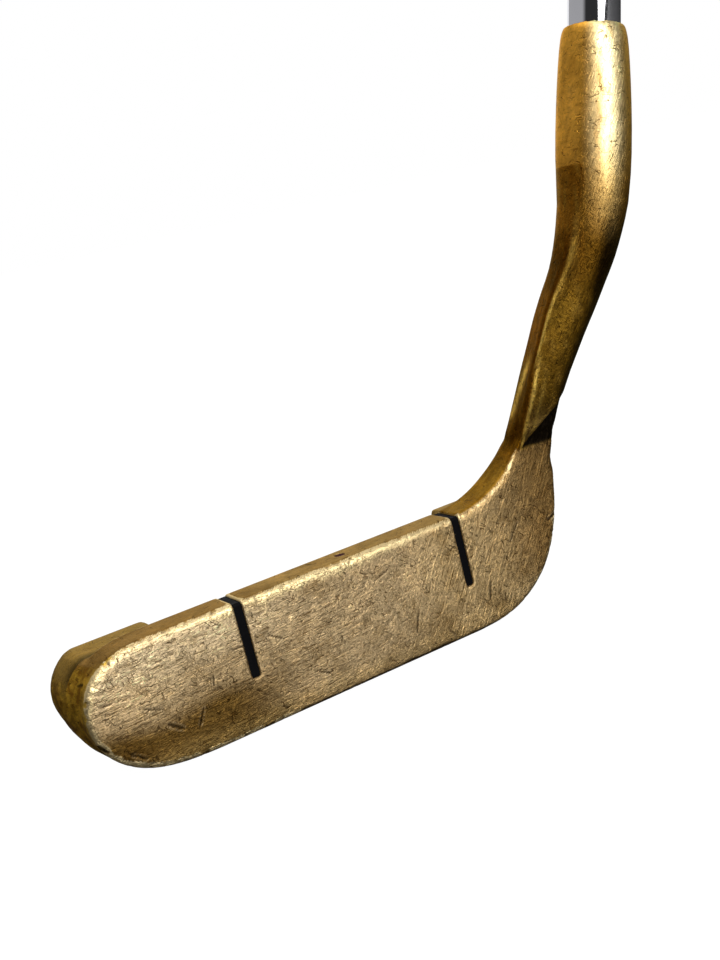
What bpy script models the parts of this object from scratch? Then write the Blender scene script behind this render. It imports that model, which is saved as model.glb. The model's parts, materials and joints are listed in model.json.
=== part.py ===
"""Heel-shafted brass blade putter: cast head with a gooseneck hosel, two sight lines, stepped
steel shaft and a leather-wrapped grip.

Frame: origin on the flat of the sole, under the sweet-spot mark and midway in depth.
+X runs toe to heel, the face looks towards -Y, +Z is up at address. Lengths are in metres."""
import math

import bpy
import bmesh
from mathutils import Vector

MM = 0.001

# ---------------------------------------------------------------- driving dimensions (mm, degrees)
LOFT = 2.3                # face leans back by this angle
LIE = 76.15               # shaft to ground, seen from the front
SHAFT_X = 46.6            # where the shaft axis meets the ground
FACE_Y = -9.8             # leading edge ahead of the middle of the sole
SHAFT_Y = -14.3           # shaft axis stands 4.5 ahead of the leading edge: full offset
BLADE_T = 7.9             # depth of the blade at its topline
BLADE_H = 23.3            # height of the topline
SOLE_Z = 0.4              # leading edge relief above the sole flat
TAIL_Y = 20.6             # depth of the toe and heel masses
MASS_TOP = 21.5           # top of the toe mass, a step below the topline
HEEL_MASS_TOP = 21.2
FLANGE_H = 7.2            # thickness of the rear flange under the cavity
CAVITY_TOE_X = -33.6
CAVITY_HEEL_X = 27.5
SCOOP_Z = 30.7            # the milled face ends here under the neck
SCOOP_R = 5.2             # cutter corner that ends it
LINE_SPACING = 46.0       # distance between the two sight lines
LINE_W = 1.6
LINE_DEPTH = 1.2
LINE_BOTTOM = 9.6         # height where the lines end on the face
PAINT_T = 0.85
DOT_R = 1.0
DOT_DEPTH = 0.6
RIM_Q = 106.85            # hosel rim, measured up the shaft axis from the ground
BORE_Q = 76.6             # bottom of the hosel bore
BORE_R = 5.2
TIP_R = 5.015             # shaft at the hosel
BUTT_R = 7.5
SHAFT_WALL = 0.9
FIRST_STEP_Q = 300.0
STEP_PITCH = 36.0
STEP_COUNT = 9
BUTT_Q = 880.0            # end of the steel shaft
GRIP_Q = 622.0            # lower end of the leather
GRIP_TOP_Q = 879.0
TAPE_T = 0.25
LEATHER_T = 1.75
STRIP_PITCH = 24.0

LIE_RAD = math.radians(LIE)
AXIS = Vector((math.cos(LIE_RAD), 0.0, math.sin(LIE_RAD)))
ACROSS = Vector((math.sin(LIE_RAD), 0.0, -math.cos(LIE_RAD)))
DEPTH = Vector((0.0, 1.0, 0.0))
SHAFT_FOOT = Vector((SHAFT_X, SHAFT_Y, 0.0))
TAN_LOFT = math.tan(math.radians(LOFT))

for old in list(bpy.data.objects):
    bpy.data.objects.remove(old, do_unlink=True)


# ---------------------------------------------------------------- small helpers
def material(name, color, metallic, roughness):
    mat = bpy.data.materials.new(name)
    mat.use_nodes = True
    shader = mat.node_tree.nodes["Principled BSDF"]
    shader.inputs["Base Color"].default_value = (color[0], color[1], color[2], 1.0)
    shader.inputs["Metallic"].default_value = metallic
    shader.inputs["Roughness"].default_value = roughness
    mat.diffuse_color = (color[0], color[1], color[2], 1.0)
    return mat


def solid(name, verts, faces, mat, smooth=True, angle=35.0):
    """One closed body from points in mm; quads are flat shaded across sharp corners."""
    mesh = bpy.data.meshes.new(name)
    mesh.from_pydata([(v[0] * MM, v[1] * MM, v[2] * MM) for v in verts], [], faces)
    mesh.validate()
    bm = bmesh.new()
    bm.from_mesh(mesh)
    bmesh.ops.recalc_face_normals(bm, faces=bm.faces)
    bm.to_mesh(mesh)
    bm.free()
    mesh.materials.append(mat)
    obj = bpy.data.objects.new(name, mesh)
    bpy.context.scene.collection.objects.link(obj)
    shade(obj, smooth, angle)
    return obj


def shade(obj, smooth, angle):
    mesh = obj.data
    for poly in mesh.polygons:
        poly.use_smooth = smooth
    if smooth:
        mesh.set_sharp_from_angle(angle=math.radians(angle))


def on_shaft(r, q, turn):
    """Point at radius r, height q up the shaft axis, turn 0 towards the heel, 90 to the back."""
    t = math.radians(turn)
    return SHAFT_FOOT + AXIS * q + ACROSS * (r * math.cos(t)) + DEPTH * (r * math.sin(t))


def lathe(name, profile, mat, segments=40, angle=35.0, phase=0.0):
    """Body of revolution about the shaft axis. profile is a closed loop of (r, q); r 0 is the axis."""
    rings = []
    verts = []
    for r, q in profile:
        if r <= 1e-6:
            rings.append([len(verts)])
            verts.append(on_shaft(0.0, q, 0.0))
            continue
        ring = []
        for k in range(segments):
            ring.append(len(verts))
            verts.append(on_shaft(r, q, phase + 360.0 * k / segments))
        rings.append(ring)
    faces = []
    count = len(rings)
    for i in range(count):
        a = rings[i]
        b = rings[(i + 1) % count]
        if len(a) == 1 and len(b) == 1:
            continue
        for k in range(segments):
            n = (k + 1) % segments
            if len(a) == 1:
                faces.append((a[0], b[k], b[n]))
            elif len(b) == 1:
                faces.append((a[k], b[0], a[n]))
            else:
                faces.append((a[k], b[k], b[n], a[n]))
    return solid(name, verts, faces, mat, True, angle)


def curve(points, per_span):
    """Smooth curve through the points: centripetal form, ends included."""
    pts = [Vector((p[0], p[1], 0.0)) for p in points]
    pts.insert(0, pts[0] * 2.0 - pts[1])
    pts.append(pts[-1] * 2.0 - pts[-2])
    out = []
    for i in range(1, len(pts) - 2):
        p0, p1, p2, p3 = pts[i - 1], pts[i], pts[i + 1], pts[i + 2]
        d1 = math.sqrt((p1 - p0).length)
        d2 = math.sqrt((p2 - p1).length)
        d3 = math.sqrt((p3 - p2).length)
        m1 = ((p1 - p0) / d1 - (p2 - p0) / (d1 + d2) + (p2 - p1) / d2) * d2
        m2 = ((p2 - p1) / d2 - (p3 - p1) / (d2 + d3) + (p3 - p2) / d3) * d2
        for k in range(per_span):
            t = k / per_span
            t2 = t * t
            t3 = t2 * t
            p = p1 * (2 * t3 - 3 * t2 + 1) + m1 * (t3 - 2 * t2 + t)
            p = p + p2 * (3 * t2 - 2 * t3) + m2 * (t3 - t2)
            out.append((p.x, p.y))
    out.append((pts[-2].x, pts[-2].y))
    return out


def blend(keys, t, col):
    """Monotone-ish smooth interpolation of column col of the station list at key t."""
    xs = [k[0] for k in keys]
    ys = [k[col] for k in keys]
    if t <= xs[0]:
        return ys[0]
    if t >= xs[-1]:
        return ys[-1]
    i = 0
    while t > xs[i + 1]:
        i += 1
    slopes = []
    for j in (i, i + 1):
        if j == 0:
            slopes.append((ys[1] - ys[0]) / (xs[1] - xs[0]))
        elif j == len(xs) - 1:
            slopes.append((ys[j] - ys[j - 1]) / (xs[j] - xs[j - 1]))
        else:
            slopes.append((ys[j + 1] - ys[j - 1]) / (xs[j + 1] - xs[j - 1]))
    h = xs[i + 1] - xs[i]
    u = (t - xs[i]) / h
    u2 = u * u
    u3 = u2 * u
    value = ys[i] * (2 * u3 - 3 * u2 + 1) + slopes[0] * h * (u3 - 2 * u2 + u)
    return value + ys[i + 1] * (3 * u2 - 2 * u3) + slopes[1] * h * (u3 - u2)


def normals(points):
    """Outward normals of an outline that runs anticlockwise seen from the front."""
    out = []
    n = len(points)
    for i in range(n):
        a = points[max(i - 1, 0)]
        b = points[min(i + 1, n - 1)]
        dx = b[0] - a[0]
        dz = b[1] - a[1]
        length = math.hypot(dx, dz)
        out.append((dz / length, -dx / length))
    return out


def face_y(z):
    """Depth of the loft plane of the face at height z."""
    return FACE_Y + z * TAN_LOFT


def boolean(target, tool, operation):
    mod = target.modifiers.new(tool.name, "BOOLEAN")
    mod.operation = operation
    mod.solver = "EXACT"
    mod.object = tool
    bpy.context.view_layer.update()
    graph = bpy.context.evaluated_depsgraph_get()
    result = bpy.data.meshes.new_from_object(target.evaluated_get(graph))
    target.modifiers.clear()
    old = target.data
    target.data = result
    bpy.data.meshes.remove(old)
    bpy.data.objects.remove(tool, do_unlink=True)


def weld(obj, distance):
    bm = bmesh.new()
    bm.from_mesh(obj.data)
    bmesh.ops.remove_doubles(bm, verts=bm.verts, dist=distance)
    bmesh.ops.dissolve_degenerate(bm, edges=bm.edges, dist=distance)
    bm.to_mesh(obj.data)
    bm.free()


def prism_x(name, x0, x1, profile, mat):
    """Straight body along X from a closed (y, z) profile."""
    count = len(profile)
    verts = [(x0, p[0], p[1]) for p in profile] + [(x1, p[0], p[1]) for p in profile]
    faces = [tuple(range(count)), tuple(range(2 * count - 1, count - 1, -1))]
    for i in range(count):
        n = (i + 1) % count
        faces.append((i, i + count, n + count, n))
    return solid(name, verts, faces, mat, False)


# ---------------------------------------------------------------- materials
BRASS = material("brass", (0.60, 0.43, 0.20), 1.0, 0.38)
PAINT_BLACK = material("black_paint", (0.012, 0.012, 0.012), 0.0, 0.55)
PAINT_RED = material("dark_red_paint", (0.16, 0.02, 0.02), 0.0, 0.5)
STEEL = material("chromed_steel", (0.78, 0.78, 0.80), 1.0, 0.08)
EPOXY = material("epoxy", (0.55, 0.45, 0.25), 0.0, 0.3)
CORK = material("cork", (0.42, 0.27, 0.15), 0.0, 0.9)
TAPE = material("grip_tape", (0.70, 0.65, 0.52), 0.0, 0.8)
CORE = material("hard_rubber", (0.03, 0.03, 0.03), 0.0, 0.7)
LEATHER = material("black_leather", (0.025, 0.022, 0.02), 0.0, 0.6)
BAND = material("finishing_tape", (0.015, 0.015, 0.015), 0.0, 0.35)
RUBBER = material("rubber", (0.02, 0.02, 0.02), 0.0, 0.55)
WOOD = material("wood", (0.45, 0.30, 0.16), 0.0, 0.8)
TACK = material("brass_tack", (0.72, 0.55, 0.25), 1.0, 0.25)

# ---------------------------------------------------------------- head outline seen from the front
# Anticlockwise from the heel side of the neck root: over the neck bend, topline, toe, sole, heel.
BEND = [(36.6, 28.05), (35.2, 27.05), (33.4, 26.0), (31.0, 24.9), (28.3, 24.03), (25.4, 23.5),
        (22.0, BLADE_H)]
TOE = [(-37.0, BLADE_H), (-41.0, 23.25), (-44.6, 22.8), (-47.6, 21.8), (-50.0, 20.2), (-51.7, 18.1),
       (-52.6, 15.7), (-52.9, 13.1), (-52.6, 10.5), (-51.8, 8.1), (-50.5, 5.95), (-48.5, 3.9),
       (-46.0, 2.3), (-43.0, 1.15), (-39.5, 0.45), (-36.0, 0.12), (-32.0, 0.0)]
HEEL = [(22.0, 0.0), (26.5, 0.15), (29.8, 0.6), (32.6, 1.35), (35.0, 2.4), (37.2, 3.7), (39.3, 5.3),
        (41.2, 7.2), (42.8, 9.3), (44.2, 11.6), (45.3, 14.0), (46.2, 16.6), (46.9, 19.4),
        (47.3, 22.2), (47.65, 25.2)]


def blade_outline():
    points = curve(BEND, 2)
    points += [(14.0, BLADE_H), (0.0, BLADE_H), (-14.0, BLADE_H), (-26.0, BLADE_H)]
    points += curve(TOE, 2)
    points += [(-18.0, 0.0), (-5.0, 0.0), (9.0, 0.0)]
    points += curve(HEEL, 2)
    return points


# Depth profile of the blade wall: (share of the wall, inset of the outline, extra depth)
EDGE_F = 0.85
EDGE_B = 0.7
SIDE = 9


def wall_profile(y0, y1):
    """Front edge round, straight side, back edge round: (y, inset) from front to back."""
    rows = [(y0 + EDGE_F * (1.0 - math.cos(math.radians(30.0 * k))),
             EDGE_F * (1.0 - math.sin(math.radians(30.0 * k)))) for k in range(4)]
    rows.append(((y0 + y1) * 0.5, 0.0))
    rows += [(y1 - EDGE_B * (1.0 - math.cos(math.radians(30.0 * (3 - k)))),
              EDGE_B * (1.0 - math.sin(math.radians(30.0 * (3 - k))))) for k in range(4)]
    return rows


# Neck stations: (key, x, y, z, half width, half depth, squareness toe side, heel side, twist)
NECK = [
    (0.0, 42.1, 4.6 + FACE_Y, 26.5, 5.65, 3.35, 1.0, 1.0, 0.0),
    (2.8, 43.98, 4.3 + FACE_Y, 29.2, 4.17, 3.8, 0.97, 0.85, 2.0),
    (5.6, 45.35, 3.45 + FACE_Y, 32.2, 3.85, 3.5, 0.93, 0.62, 8.6),
    (8.8, 46.35, 2.4 + FACE_Y, 35.5, 4.0, 3.65, 0.88, 0.42, 12.4),
    (13.0, 47.7, 0.97 + FACE_Y, 39.7, 4.05, 4.0, 0.8, 0.27, 15.4),
    (17.7, 49.54, -0.1 + FACE_Y, 44.0, 4.23, 4.25, 0.7, 0.15, 16.4),
    (22.3, 51.53, -1.15 + FACE_Y, 48.1, 4.53, 4.5, 0.6, 0.08, 15.6),
    (27.0, 53.6, -2.07 + FACE_Y, 52.2, 4.9, 4.7, 0.48, 0.04, 14.1),
    (31.7, 55.92, -2.93 + FACE_Y, 56.2, 5.15, 5.05, 0.36, 0.02, 11.3),
    (36.3, 58.25, -3.7 + FACE_Y, 60.1, 5.23, 5.5, 0.26, 0.0, 7.4),
    (41.0, 60.5, -4.13 + FACE_Y, 64.1, 5.72, 5.9, 0.15, 0.0, 4.6),
    (45.6, 62.5, -4.32 + FACE_Y, 68.2, 6.18, 6.24, 0.08, 0.0, 2.1),
    (50.2, 64.3, SHAFT_Y, 72.5, 6.65, 6.65, 0.0, 0.0, 0.0),
]
# Hosel barrel: (q up the shaft axis, radius)
BARREL = [(79.9, 6.95), (83.6, 7.08), (88.1, 7.07), (92.6, 6.96), (96.6, 6.81), (100.1, 6.62),
          (102.8, 6.42), (104.8, 6.19), (105.9, 5.97), (106.6, 5.7), (RIM_Q, 5.45)]


def head_casting():
    outline = blade_outline()
    norms = normals(outline)
    verts = []
    grid = []
    y_back = FACE_Y + BLADE_T
    for (x, z), (nx, nz) in zip(outline, norms):
        zz = z + SOLE_Z * max(0.0, -nz)
        column = []
        for y, inset in wall_profile(0.0, BLADE_T):
            px = x - nx * inset
            pz = zz - nz * inset
            front = face_y(pz)
            share = y / BLADE_T
            py = front + (y_back - front) * share
            column.append(len(verts))
            verts.append(Vector((px, py, pz)))
        grid.append(column)
    faces = []
    count = len(grid)
    for i in range(count - 1):
        for j in range(SIDE - 1):
            faces.append((grid[i][j], grid[i + 1][j], grid[i + 1][j + 1], grid[i][j + 1]))
    # the ring where the neck leaves the blade: toe side, back, heel side, front
    across = 15
    left = grid[0]
    right = grid[-1]
    back_row = []
    front_row = []
    for k in range(1, across + 1):
        t = k / (across + 1)
        pb = verts[left[-1]].lerp(verts[right[-1]], t)
        back_row.append(len(verts))
        verts.append(pb)
    for k in range(1, across + 1):
        t = k / (across + 1)
        pf = verts[left[0]].lerp(verts[right[0]], t)
        front_row.append(len(verts))
        verts.append(pf)
    front_cap = [grid[i][0] for i in range(count)] + list(reversed(front_row))
    back_cap = [grid[i][-1] for i in range(count)] + list(reversed(back_row))
    faces.append(tuple(front_cap))
    faces.append(tuple(reversed(back_cap)))
    ring = list(left) + back_row + list(reversed(right)) + list(reversed(front_row))
    total = len(ring)
    base = [verts[i].copy() for i in ring]
    # shape of the blade ring in units of its own half width and half depth
    e1 = (verts[right[4]] - verts[left[4]])
    e1.y = 0.0
    e1.normalize()
    mid = (verts[right[4]] + verts[left[4]]) * 0.5
    mid.y = (verts[left[0]].y + verts[left[-1]].y) * 0.5
    half_w = (verts[right[4]] - verts[left[4]]).length * 0.5
    half_d = (verts[left[-1]].y - verts[left[0]].y) * 0.5
    square = [((p - mid).dot(e1) / half_w, (p.y - mid.y) / half_d) for p in base]
    rings = [ring]
    steps = 22
    last_key = NECK[-1][0]
    for s in range(1, steps + 1):
        key = last_key * s / steps
        x = blend(NECK, key, 1)
        y = blend(NECK, key, 2)
        z = blend(NECK, key, 3)
        a = blend(NECK, key, 4)
        b = blend(NECK, key, 5)
        sq_toe = min(1.0, max(0.0, blend(NECK, key, 6)))
        sq_heel = min(1.0, max(0.0, blend(NECK, key, 7)))
        # the flats of the neck turn towards the toe below the bend
        twist = math.radians(blend(NECK, key, 8))
        cos_t = math.cos(twist)
        sin_t = math.sin(twist)
        step = 0.6
        dx = blend(NECK, min(key + step, last_key), 1) - blend(NECK, max(key - step, 0.0), 1)
        dz = blend(NECK, min(key + step, last_key), 3) - blend(NECK, max(key - step, 0.0), 3)
        tangent = Vector((dx, 0.0, dz)).normalized()
        if s == steps:
            tangent = AXIS
        side = Vector((tangent.z, 0.0, -tangent.x))
        centre = Vector((x, y, z))
        row = []
        for i in range(total):
            turn = math.radians(210.0 - 7.5 * i)
            cx = math.cos(turn)
            cy = math.sin(turn)
            heelward = (1.0 + cx) * 0.5
            sq = sq_toe * (1.0 - heelward) + sq_heel * heelward
            if cy > 0.0:
                sq *= 1.0 - cy * min(0.6, key * 0.12)
            px = cx * (1.0 - sq) + square[i][0] * sq
            py = cy * (1.0 - sq) + square[i][1] * sq
            row.append(len(verts))
            verts.append(centre + side * (a * px * cos_t + b * py * sin_t)
                         + DEPTH * (b * py * cos_t - a * px * sin_t))
        rings.append(row)
    for q, r in BARREL:
        row = []
        for i in range(total):
            row.append(len(verts))
            verts.append(on_shaft(r, q, 210.0 - 7.5 * i))
        rings.append(row)
    for q, r in ((RIM_Q, BORE_R + 0.1), (RIM_Q - 0.15, BORE_R), (91.0, BORE_R), (BORE_Q + 2.0, BORE_R)):
        row = []
        for i in range(total):
            row.append(len(verts))
            verts.append(on_shaft(r, q, 210.0 - 7.5 * i))
        rings.append(row)
    for a, b in zip(rings[:-1], rings[1:]):
        for i in range(total):
            n = (i + 1) % total
            faces.append((a[i], a[n], b[n], b[i]))
    tip = len(verts)
    verts.append(on_shaft(0.0, BORE_Q, 0.0))
    for i in range(total):
        faces.append((rings[-1][i], rings[-1][(i + 1) % total], tip))
    return solid("head", verts, faces, BRASS)


def rear_body():
    """Toe and heel masses and the flange behind the blade, one casting with it."""
    outline = [(p[0], min(p[1], MASS_TOP)) for p in curve(TOE, 2) if p[1] < MASS_TOP + 0.9]
    outline += [(-18.0, 0.0), (-5.0, 0.0), (9.0, 0.0)]
    outline += [p for p in curve(HEEL, 2) if p[1] < HEEL_MASS_TOP - 2.2]
    outline += [(46.5, HEEL_MASS_TOP - 1.1), (45.6, HEEL_MASS_TOP - 0.3), (44.2, HEEL_MASS_TOP)]
    outline += [(24.0, HEEL_MASS_TOP), (10.0, MASS_TOP), (-10.0, MASS_TOP), (-30.0, MASS_TOP)]
    outline += [(-40.0, MASS_TOP)]
    # (depth, inset at the sole, inset of the ends near the sole, inset of the ends near the top)
    rows = [(1.0, 1.7, 2.2, 2.2), (1.7, 0.75, 1.2, 1.2), (2.4, 0.2, 0.7, 0.7), (3.4, 0.0, 0.3, 0.3),
            (5.0, 0.0, -0.1, -0.15), (8.0, 0.0, -0.2, -0.9), (11.5, 0.0, 0.5, -1.3),
            (14.5, 0.0, 1.7, -1.3), (16.6, 0.1, 2.8, -0.8), (18.2, 0.55, 4.0, 0.0),
            (19.4, 1.4, 5.4, 1.3), (20.2, 2.5, 6.9, 2.9), (TAIL_Y, 3.8, 8.4, 4.7)]
    count = len(outline)
    mid_x = -3.0
    half_x = 50.0
    mid_z = MASS_TOP * 0.5
    verts = []
    grid = []
    for y, low, end_low, end_high in rows:
        row = []
        for x, z in outline:
            row.append(len(verts))
            share = min(1.0, z / 15.0)
            swell = end_low * (1.0 - share) + end_high * share
            if x > 0.0 and swell < 0.0:
                swell *= 0.4
            px = x - swell * (x - mid_x) / half_x
            pz = z - low * (z - mid_z) / mid_z
            verts.append((px, FACE_Y + y, pz))
        grid.append(row)
    faces = [tuple(reversed(grid[0])), tuple(grid[-1])]
    for j in range(len(grid) - 1):
        for i in range(count):
            n = (i + 1) % count
            faces.append((grid[j][i], grid[j][n], grid[j + 1][n], grid[j + 1][i]))
    return solid("rear_body", verts, faces, BRASS)


def cavity_tool():
    """The open pocket between the masses: round corners in plan, round floor edge."""
    x0 = CAVITY_TOE_X
    x1 = CAVITY_HEEL_X
    y0 = FACE_Y + 6.4
    y1 = FACE_Y + TAIL_Y + 6.0
    rings = []
    verts = []
    for inset, z in ((3.0, FLANGE_H), (1.6, FLANGE_H + 0.25), (0.6, FLANGE_H + 1.1), (0.0, FLANGE_H + 3.0),
                     (-0.3, 15.0), (-0.5, MASS_TOP - 1.4), (-1.1, MASS_TOP - 0.3), (-1.6, MASS_TOP + 3.0)):
        ring = []
        loop = [(x0 + inset, y0), (x0 + inset, FACE_Y + 15.5)]
        loop += [(x0 + inset - 0.35, FACE_Y + 17.6), (x0 + inset - 1.6, FACE_Y + 19.2), (x0 + inset - 4.0, y1)]
        loop += [(x1 - inset + 4.0, y1), (x1 - inset + 1.6, FACE_Y + 19.2), (x1 - inset + 0.35, FACE_Y + 17.6)]
        loop += [(x1 - inset, FACE_Y + 15.5), (x1 - inset, y0)]
        for x, y in loop:
            ring.append(len(verts))
            verts.append((x, y, z))
        rings.append(ring)
    count = len(rings[0])
    faces = [tuple(rings[0]), tuple(reversed(rings[-1]))]
    for a, b in zip(rings[:-1], rings[1:]):
        for i in range(count):
            n = (i + 1) % count
            faces.append((a[i], a[n], b[n], b[i]))
    return solid("cavity_tool", verts, faces, BRASS, False)


def scoop_tool():
    """Clears the casting in front of the face plane and ends in the cutter's round corner."""
    skim = 0.01
    profile = [(face_y(18.0) - skim, 18.0), (face_y(SCOOP_Z) - skim, SCOOP_Z)]
    for k in range(1, 13):
        t = math.radians(90.0 * k / 12.0)
        z = SCOOP_Z + SCOOP_R * math.sin(t)
        profile.append((face_y(z) - skim - SCOOP_R * (1.0 - math.cos(t)), z))
    profile.append((FACE_Y - 14.0, SCOOP_Z + SCOOP_R))
    profile.append((FACE_Y - 14.0, 18.0))
    return prism_x("scoop_tool", 30.0, 56.0, profile, BRASS)


def line_tool(name, x, width, floor, proud, mat):
    """Angled bar that follows the face and the topline: floor is the depth, proud the outside."""
    z_low = LINE_BOTTOM
    if proud < 0.0:
        z_low = LINE_BOTTOM + 0.05
    top_in = BLADE_H - floor
    top_out = BLADE_H + proud
    y_end = FACE_Y + BLADE_T + proud
    if proud < 0.0:
        y_end = FACE_Y + BLADE_T - 0.35
    profile = [(face_y(z_low) + floor, z_low), (face_y(top_in) + floor, top_in), (y_end, top_in)]
    if proud < 0.0:
        profile += [(y_end, top_out), (face_y(top_out) - proud + 0.45, top_out)]
        profile += [(face_y(top_out - 0.45) - proud, top_out - 0.45), (face_y(z_low) - proud, z_low)]
    else:
        profile += [(y_end, top_out), (face_y(top_out) - proud, top_out), (face_y(z_low) - proud, z_low)]
    return prism_x(name, x - width * 0.5, x + width * 0.5, profile, mat)


def disc(name, x, y, z0, z1, radius, segments, mat):
    verts = []
    for z in (z0, z1):
        for k in range(segments):
            t = 2.0 * math.pi * k / segments
            verts.append((x + radius * math.cos(t), y + radius * math.sin(t), z))
    faces = [tuple(range(segments - 1, -1, -1)), tuple(range(segments, 2 * segments))]
    for k in range(segments):
        n = (k + 1) % segments
        faces.append((k, n, n + segments, k + segments))
    return solid(name, verts, faces, mat, True, 30.0)


# ---------------------------------------------------------------- head
head = head_casting()
boolean(head, scoop_tool(), "DIFFERENCE")
rear = rear_body()
boolean(rear, cavity_tool(), "DIFFERENCE")
boolean(head, rear, "UNION")
for sign in (-1.0, 1.0):
    cut = line_tool("line_tool", sign * LINE_SPACING * 0.5, LINE_W, LINE_DEPTH, 1.0, BRASS)
    boolean(head, cut, "DIFFERENCE")
DOT_Y = FACE_Y + 5.0
boolean(head, disc("dot_tool", 0.0, DOT_Y, BLADE_H - DOT_DEPTH, BLADE_H + 1.0, DOT_R, 24, BRASS), "DIFFERENCE")
weld(head, 2e-7)
shade(head, True, 32.0)

# ---------------------------------------------------------------- paint fills
FILL_W = LINE_W - 0.06
for label, sign in (("toe", -1.0), ("heel", 1.0)):
    line_tool(label + "_sight_line_paint", sign * LINE_SPACING * 0.5, FILL_W, LINE_DEPTH - 0.03,
              PAINT_T - LINE_DEPTH, PAINT_BLACK)
disc("sweet_spot_paint", 0.0, DOT_Y, BLADE_H - DOT_DEPTH + 0.03, BLADE_H - 0.2, DOT_R - 0.04, 24, PAINT_RED)

# ---------------------------------------------------------------- shaft and its glue line
profile = [(TIP_R - 0.25, BORE_Q + 4.0), (TIP_R, BORE_Q + 4.3), (TIP_R, FIRST_STEP_Q)]
for k in range(STEP_COUNT):
    q = FIRST_STEP_Q + STEP_PITCH * k
    r = TIP_R + (BUTT_R - TIP_R) * (k + 1) / STEP_COUNT
    profile += [(r, q + 1.6)]
    if k + 1 < STEP_COUNT:
        profile += [(r, q + STEP_PITCH)]
profile += [(BUTT_R, BUTT_Q - 0.3), (BUTT_R - 0.3, BUTT_Q), (BUTT_R - SHAFT_WALL, BUTT_Q)]
profile += [(BUTT_R - SHAFT_WALL, FIRST_STEP_Q + STEP_PITCH * STEP_COUNT - 20.0)]
profile += [(TIP_R - SHAFT_WALL, FIRST_STEP_Q - 4.0), (TIP_R - SHAFT_WALL, BORE_Q + 4.0)]
lathe("shaft", profile, STEEL)

lathe("hosel_adhesive", [(TIP_R + 0.03, BORE_Q + 4.6), (BORE_R - 0.03, BORE_Q + 4.6),
                         (BORE_R - 0.03, RIM_Q - 0.7), (TIP_R + 0.03, RIM_Q - 0.7)], EPOXY)
lathe("tip_plug", [(0.0, BORE_Q + 4.2), (TIP_R - SHAFT_WALL - 0.35, BORE_Q + 4.2),
                   (TIP_R - SHAFT_WALL - 0.3, BORE_Q + 18.0), (0.0, BORE_Q + 18.0)], CORK, 32)

# ---------------------------------------------------------------- grip
TAPE_IN = BUTT_R + 0.03
TAPE_OUT = TAPE_IN + TAPE_T
lathe("grip_tape", [(TAPE_IN, GRIP_Q + 1.0), (TAPE_OUT, GRIP_Q + 1.0),
                    (TAPE_OUT, GRIP_TOP_Q - 2.0), (TAPE_IN, GRIP_TOP_Q - 2.0)], TAPE)

GRIP_SEG = 48
CORE_IN = TAPE_OUT + 0.05


def core_radius(q, turn, extra):
    """Core of the grip: grows towards the butt, with a flat front for the thumbs."""
    share = (q - GRIP_Q) / (GRIP_TOP_Q - GRIP_Q)
    share = min(1.0, max(0.0, share))
    r = 8.9 + 2.3 * share ** 0.8 + extra
    flat = 8.5 + 0.9 * share + extra
    c = math.cos(math.radians(turn + 90.0))
    if c > 1e-3:
        limit = flat / c
        power = 14.0
        r = (r ** -power + limit ** -power) ** (-1.0 / power)
    return r


def grip_core():
    levels = [GRIP_Q, GRIP_Q + 15.0, GRIP_Q + 40.0, GRIP_Q + 70.0, GRIP_Q + 105.0, GRIP_Q + 145.0,
              GRIP_Q + 185.0, GRIP_Q + 225.0, GRIP_TOP_Q]
    verts = []
    outer = []
    for q in levels:
        row = []
        for k in range(GRIP_SEG):
            turn = 360.0 * k / GRIP_SEG
            row.append(len(verts))
            verts.append(on_shaft(core_radius(q, turn, 0.0), q, turn))
        outer.append(row)
    inner = []
    for q in (GRIP_Q, GRIP_TOP_Q):
        row = []
        for k in range(GRIP_SEG):
            row.append(len(verts))
            verts.append(on_shaft(CORE_IN, q, 360.0 * k / GRIP_SEG))
        inner.append(row)
    loops = outer + [inner[1], inner[0]]
    faces = []
    for j in range(len(loops)):
        a = loops[j]
        b = loops[(j + 1) % len(loops)]
        for k in range(GRIP_SEG):
            n = (k + 1) % GRIP_SEG
            faces.append((a[k], a[n], b[n], b[k]))
    return solid("grip_core", verts, faces, CORE)


grip_core()


def leather_wrap():
    """One long strip wound up the core, trimmed square at both ends."""
    low = GRIP_Q + 0.4
    high = GRIP_TOP_Q - 0.4
    gap = 0.35
    turns = (high - low) / STRIP_PITCH
    per_turn = 28
    steps = int((turns + 1.0) * per_turn)
    rows = []
    verts = []
    for s in range(steps + 1):
        wind = s / per_turn
        q_top = low + STRIP_PITCH * wind + 1.2
        q_bot = q_top - STRIP_PITCH + gap
        q_top = min(q_top, high)
        q_bot = max(q_bot, low)
        if q_top - q_bot < 1.1:
            break
        turn = 250.0 + 360.0 * wind
        width = q_top - q_bot
        soft = min(0.7, width * 0.3)
        section = [(0.3, q_bot + 0.05), (LEATHER_T * 0.6, q_bot), (LEATHER_T, q_bot + soft),
                   (LEATHER_T, q_top - soft), (LEATHER_T * 0.6, q_top), (0.3, q_top - 0.05)]
        row = []
        for lift, q in section:
            row.append(len(verts))
            verts.append(on_shaft(core_radius(q, turn, lift), q, turn))
        rows.append(row)
    faces = [tuple(reversed(rows[0])), tuple(rows[-1])]
    for a, b in zip(rows[:-1], rows[1:]):
        for i in range(6):
            n = (i + 1) % 6
            faces.append((a[i], a[n], b[n], b[i]))
    return solid("leather_wrap", verts, faces, LEATHER, True, 50.0)


leather_wrap()

lathe("grip_collar", [(BUTT_R + 0.05, GRIP_Q - 15.0), (BUTT_R + 0.7, GRIP_Q - 15.0),
                      (BUTT_R + 1.5, GRIP_Q - 13.6), (BUTT_R + 2.6, GRIP_Q - 6.0),
                      (BUTT_R + 3.1, GRIP_Q - 1.6), (BUTT_R + 3.0, GRIP_Q - 0.6),
                      (BUTT_R + 2.5, GRIP_Q - 0.3), (BUTT_R + 0.05, GRIP_Q - 0.3)], RUBBER)


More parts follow.
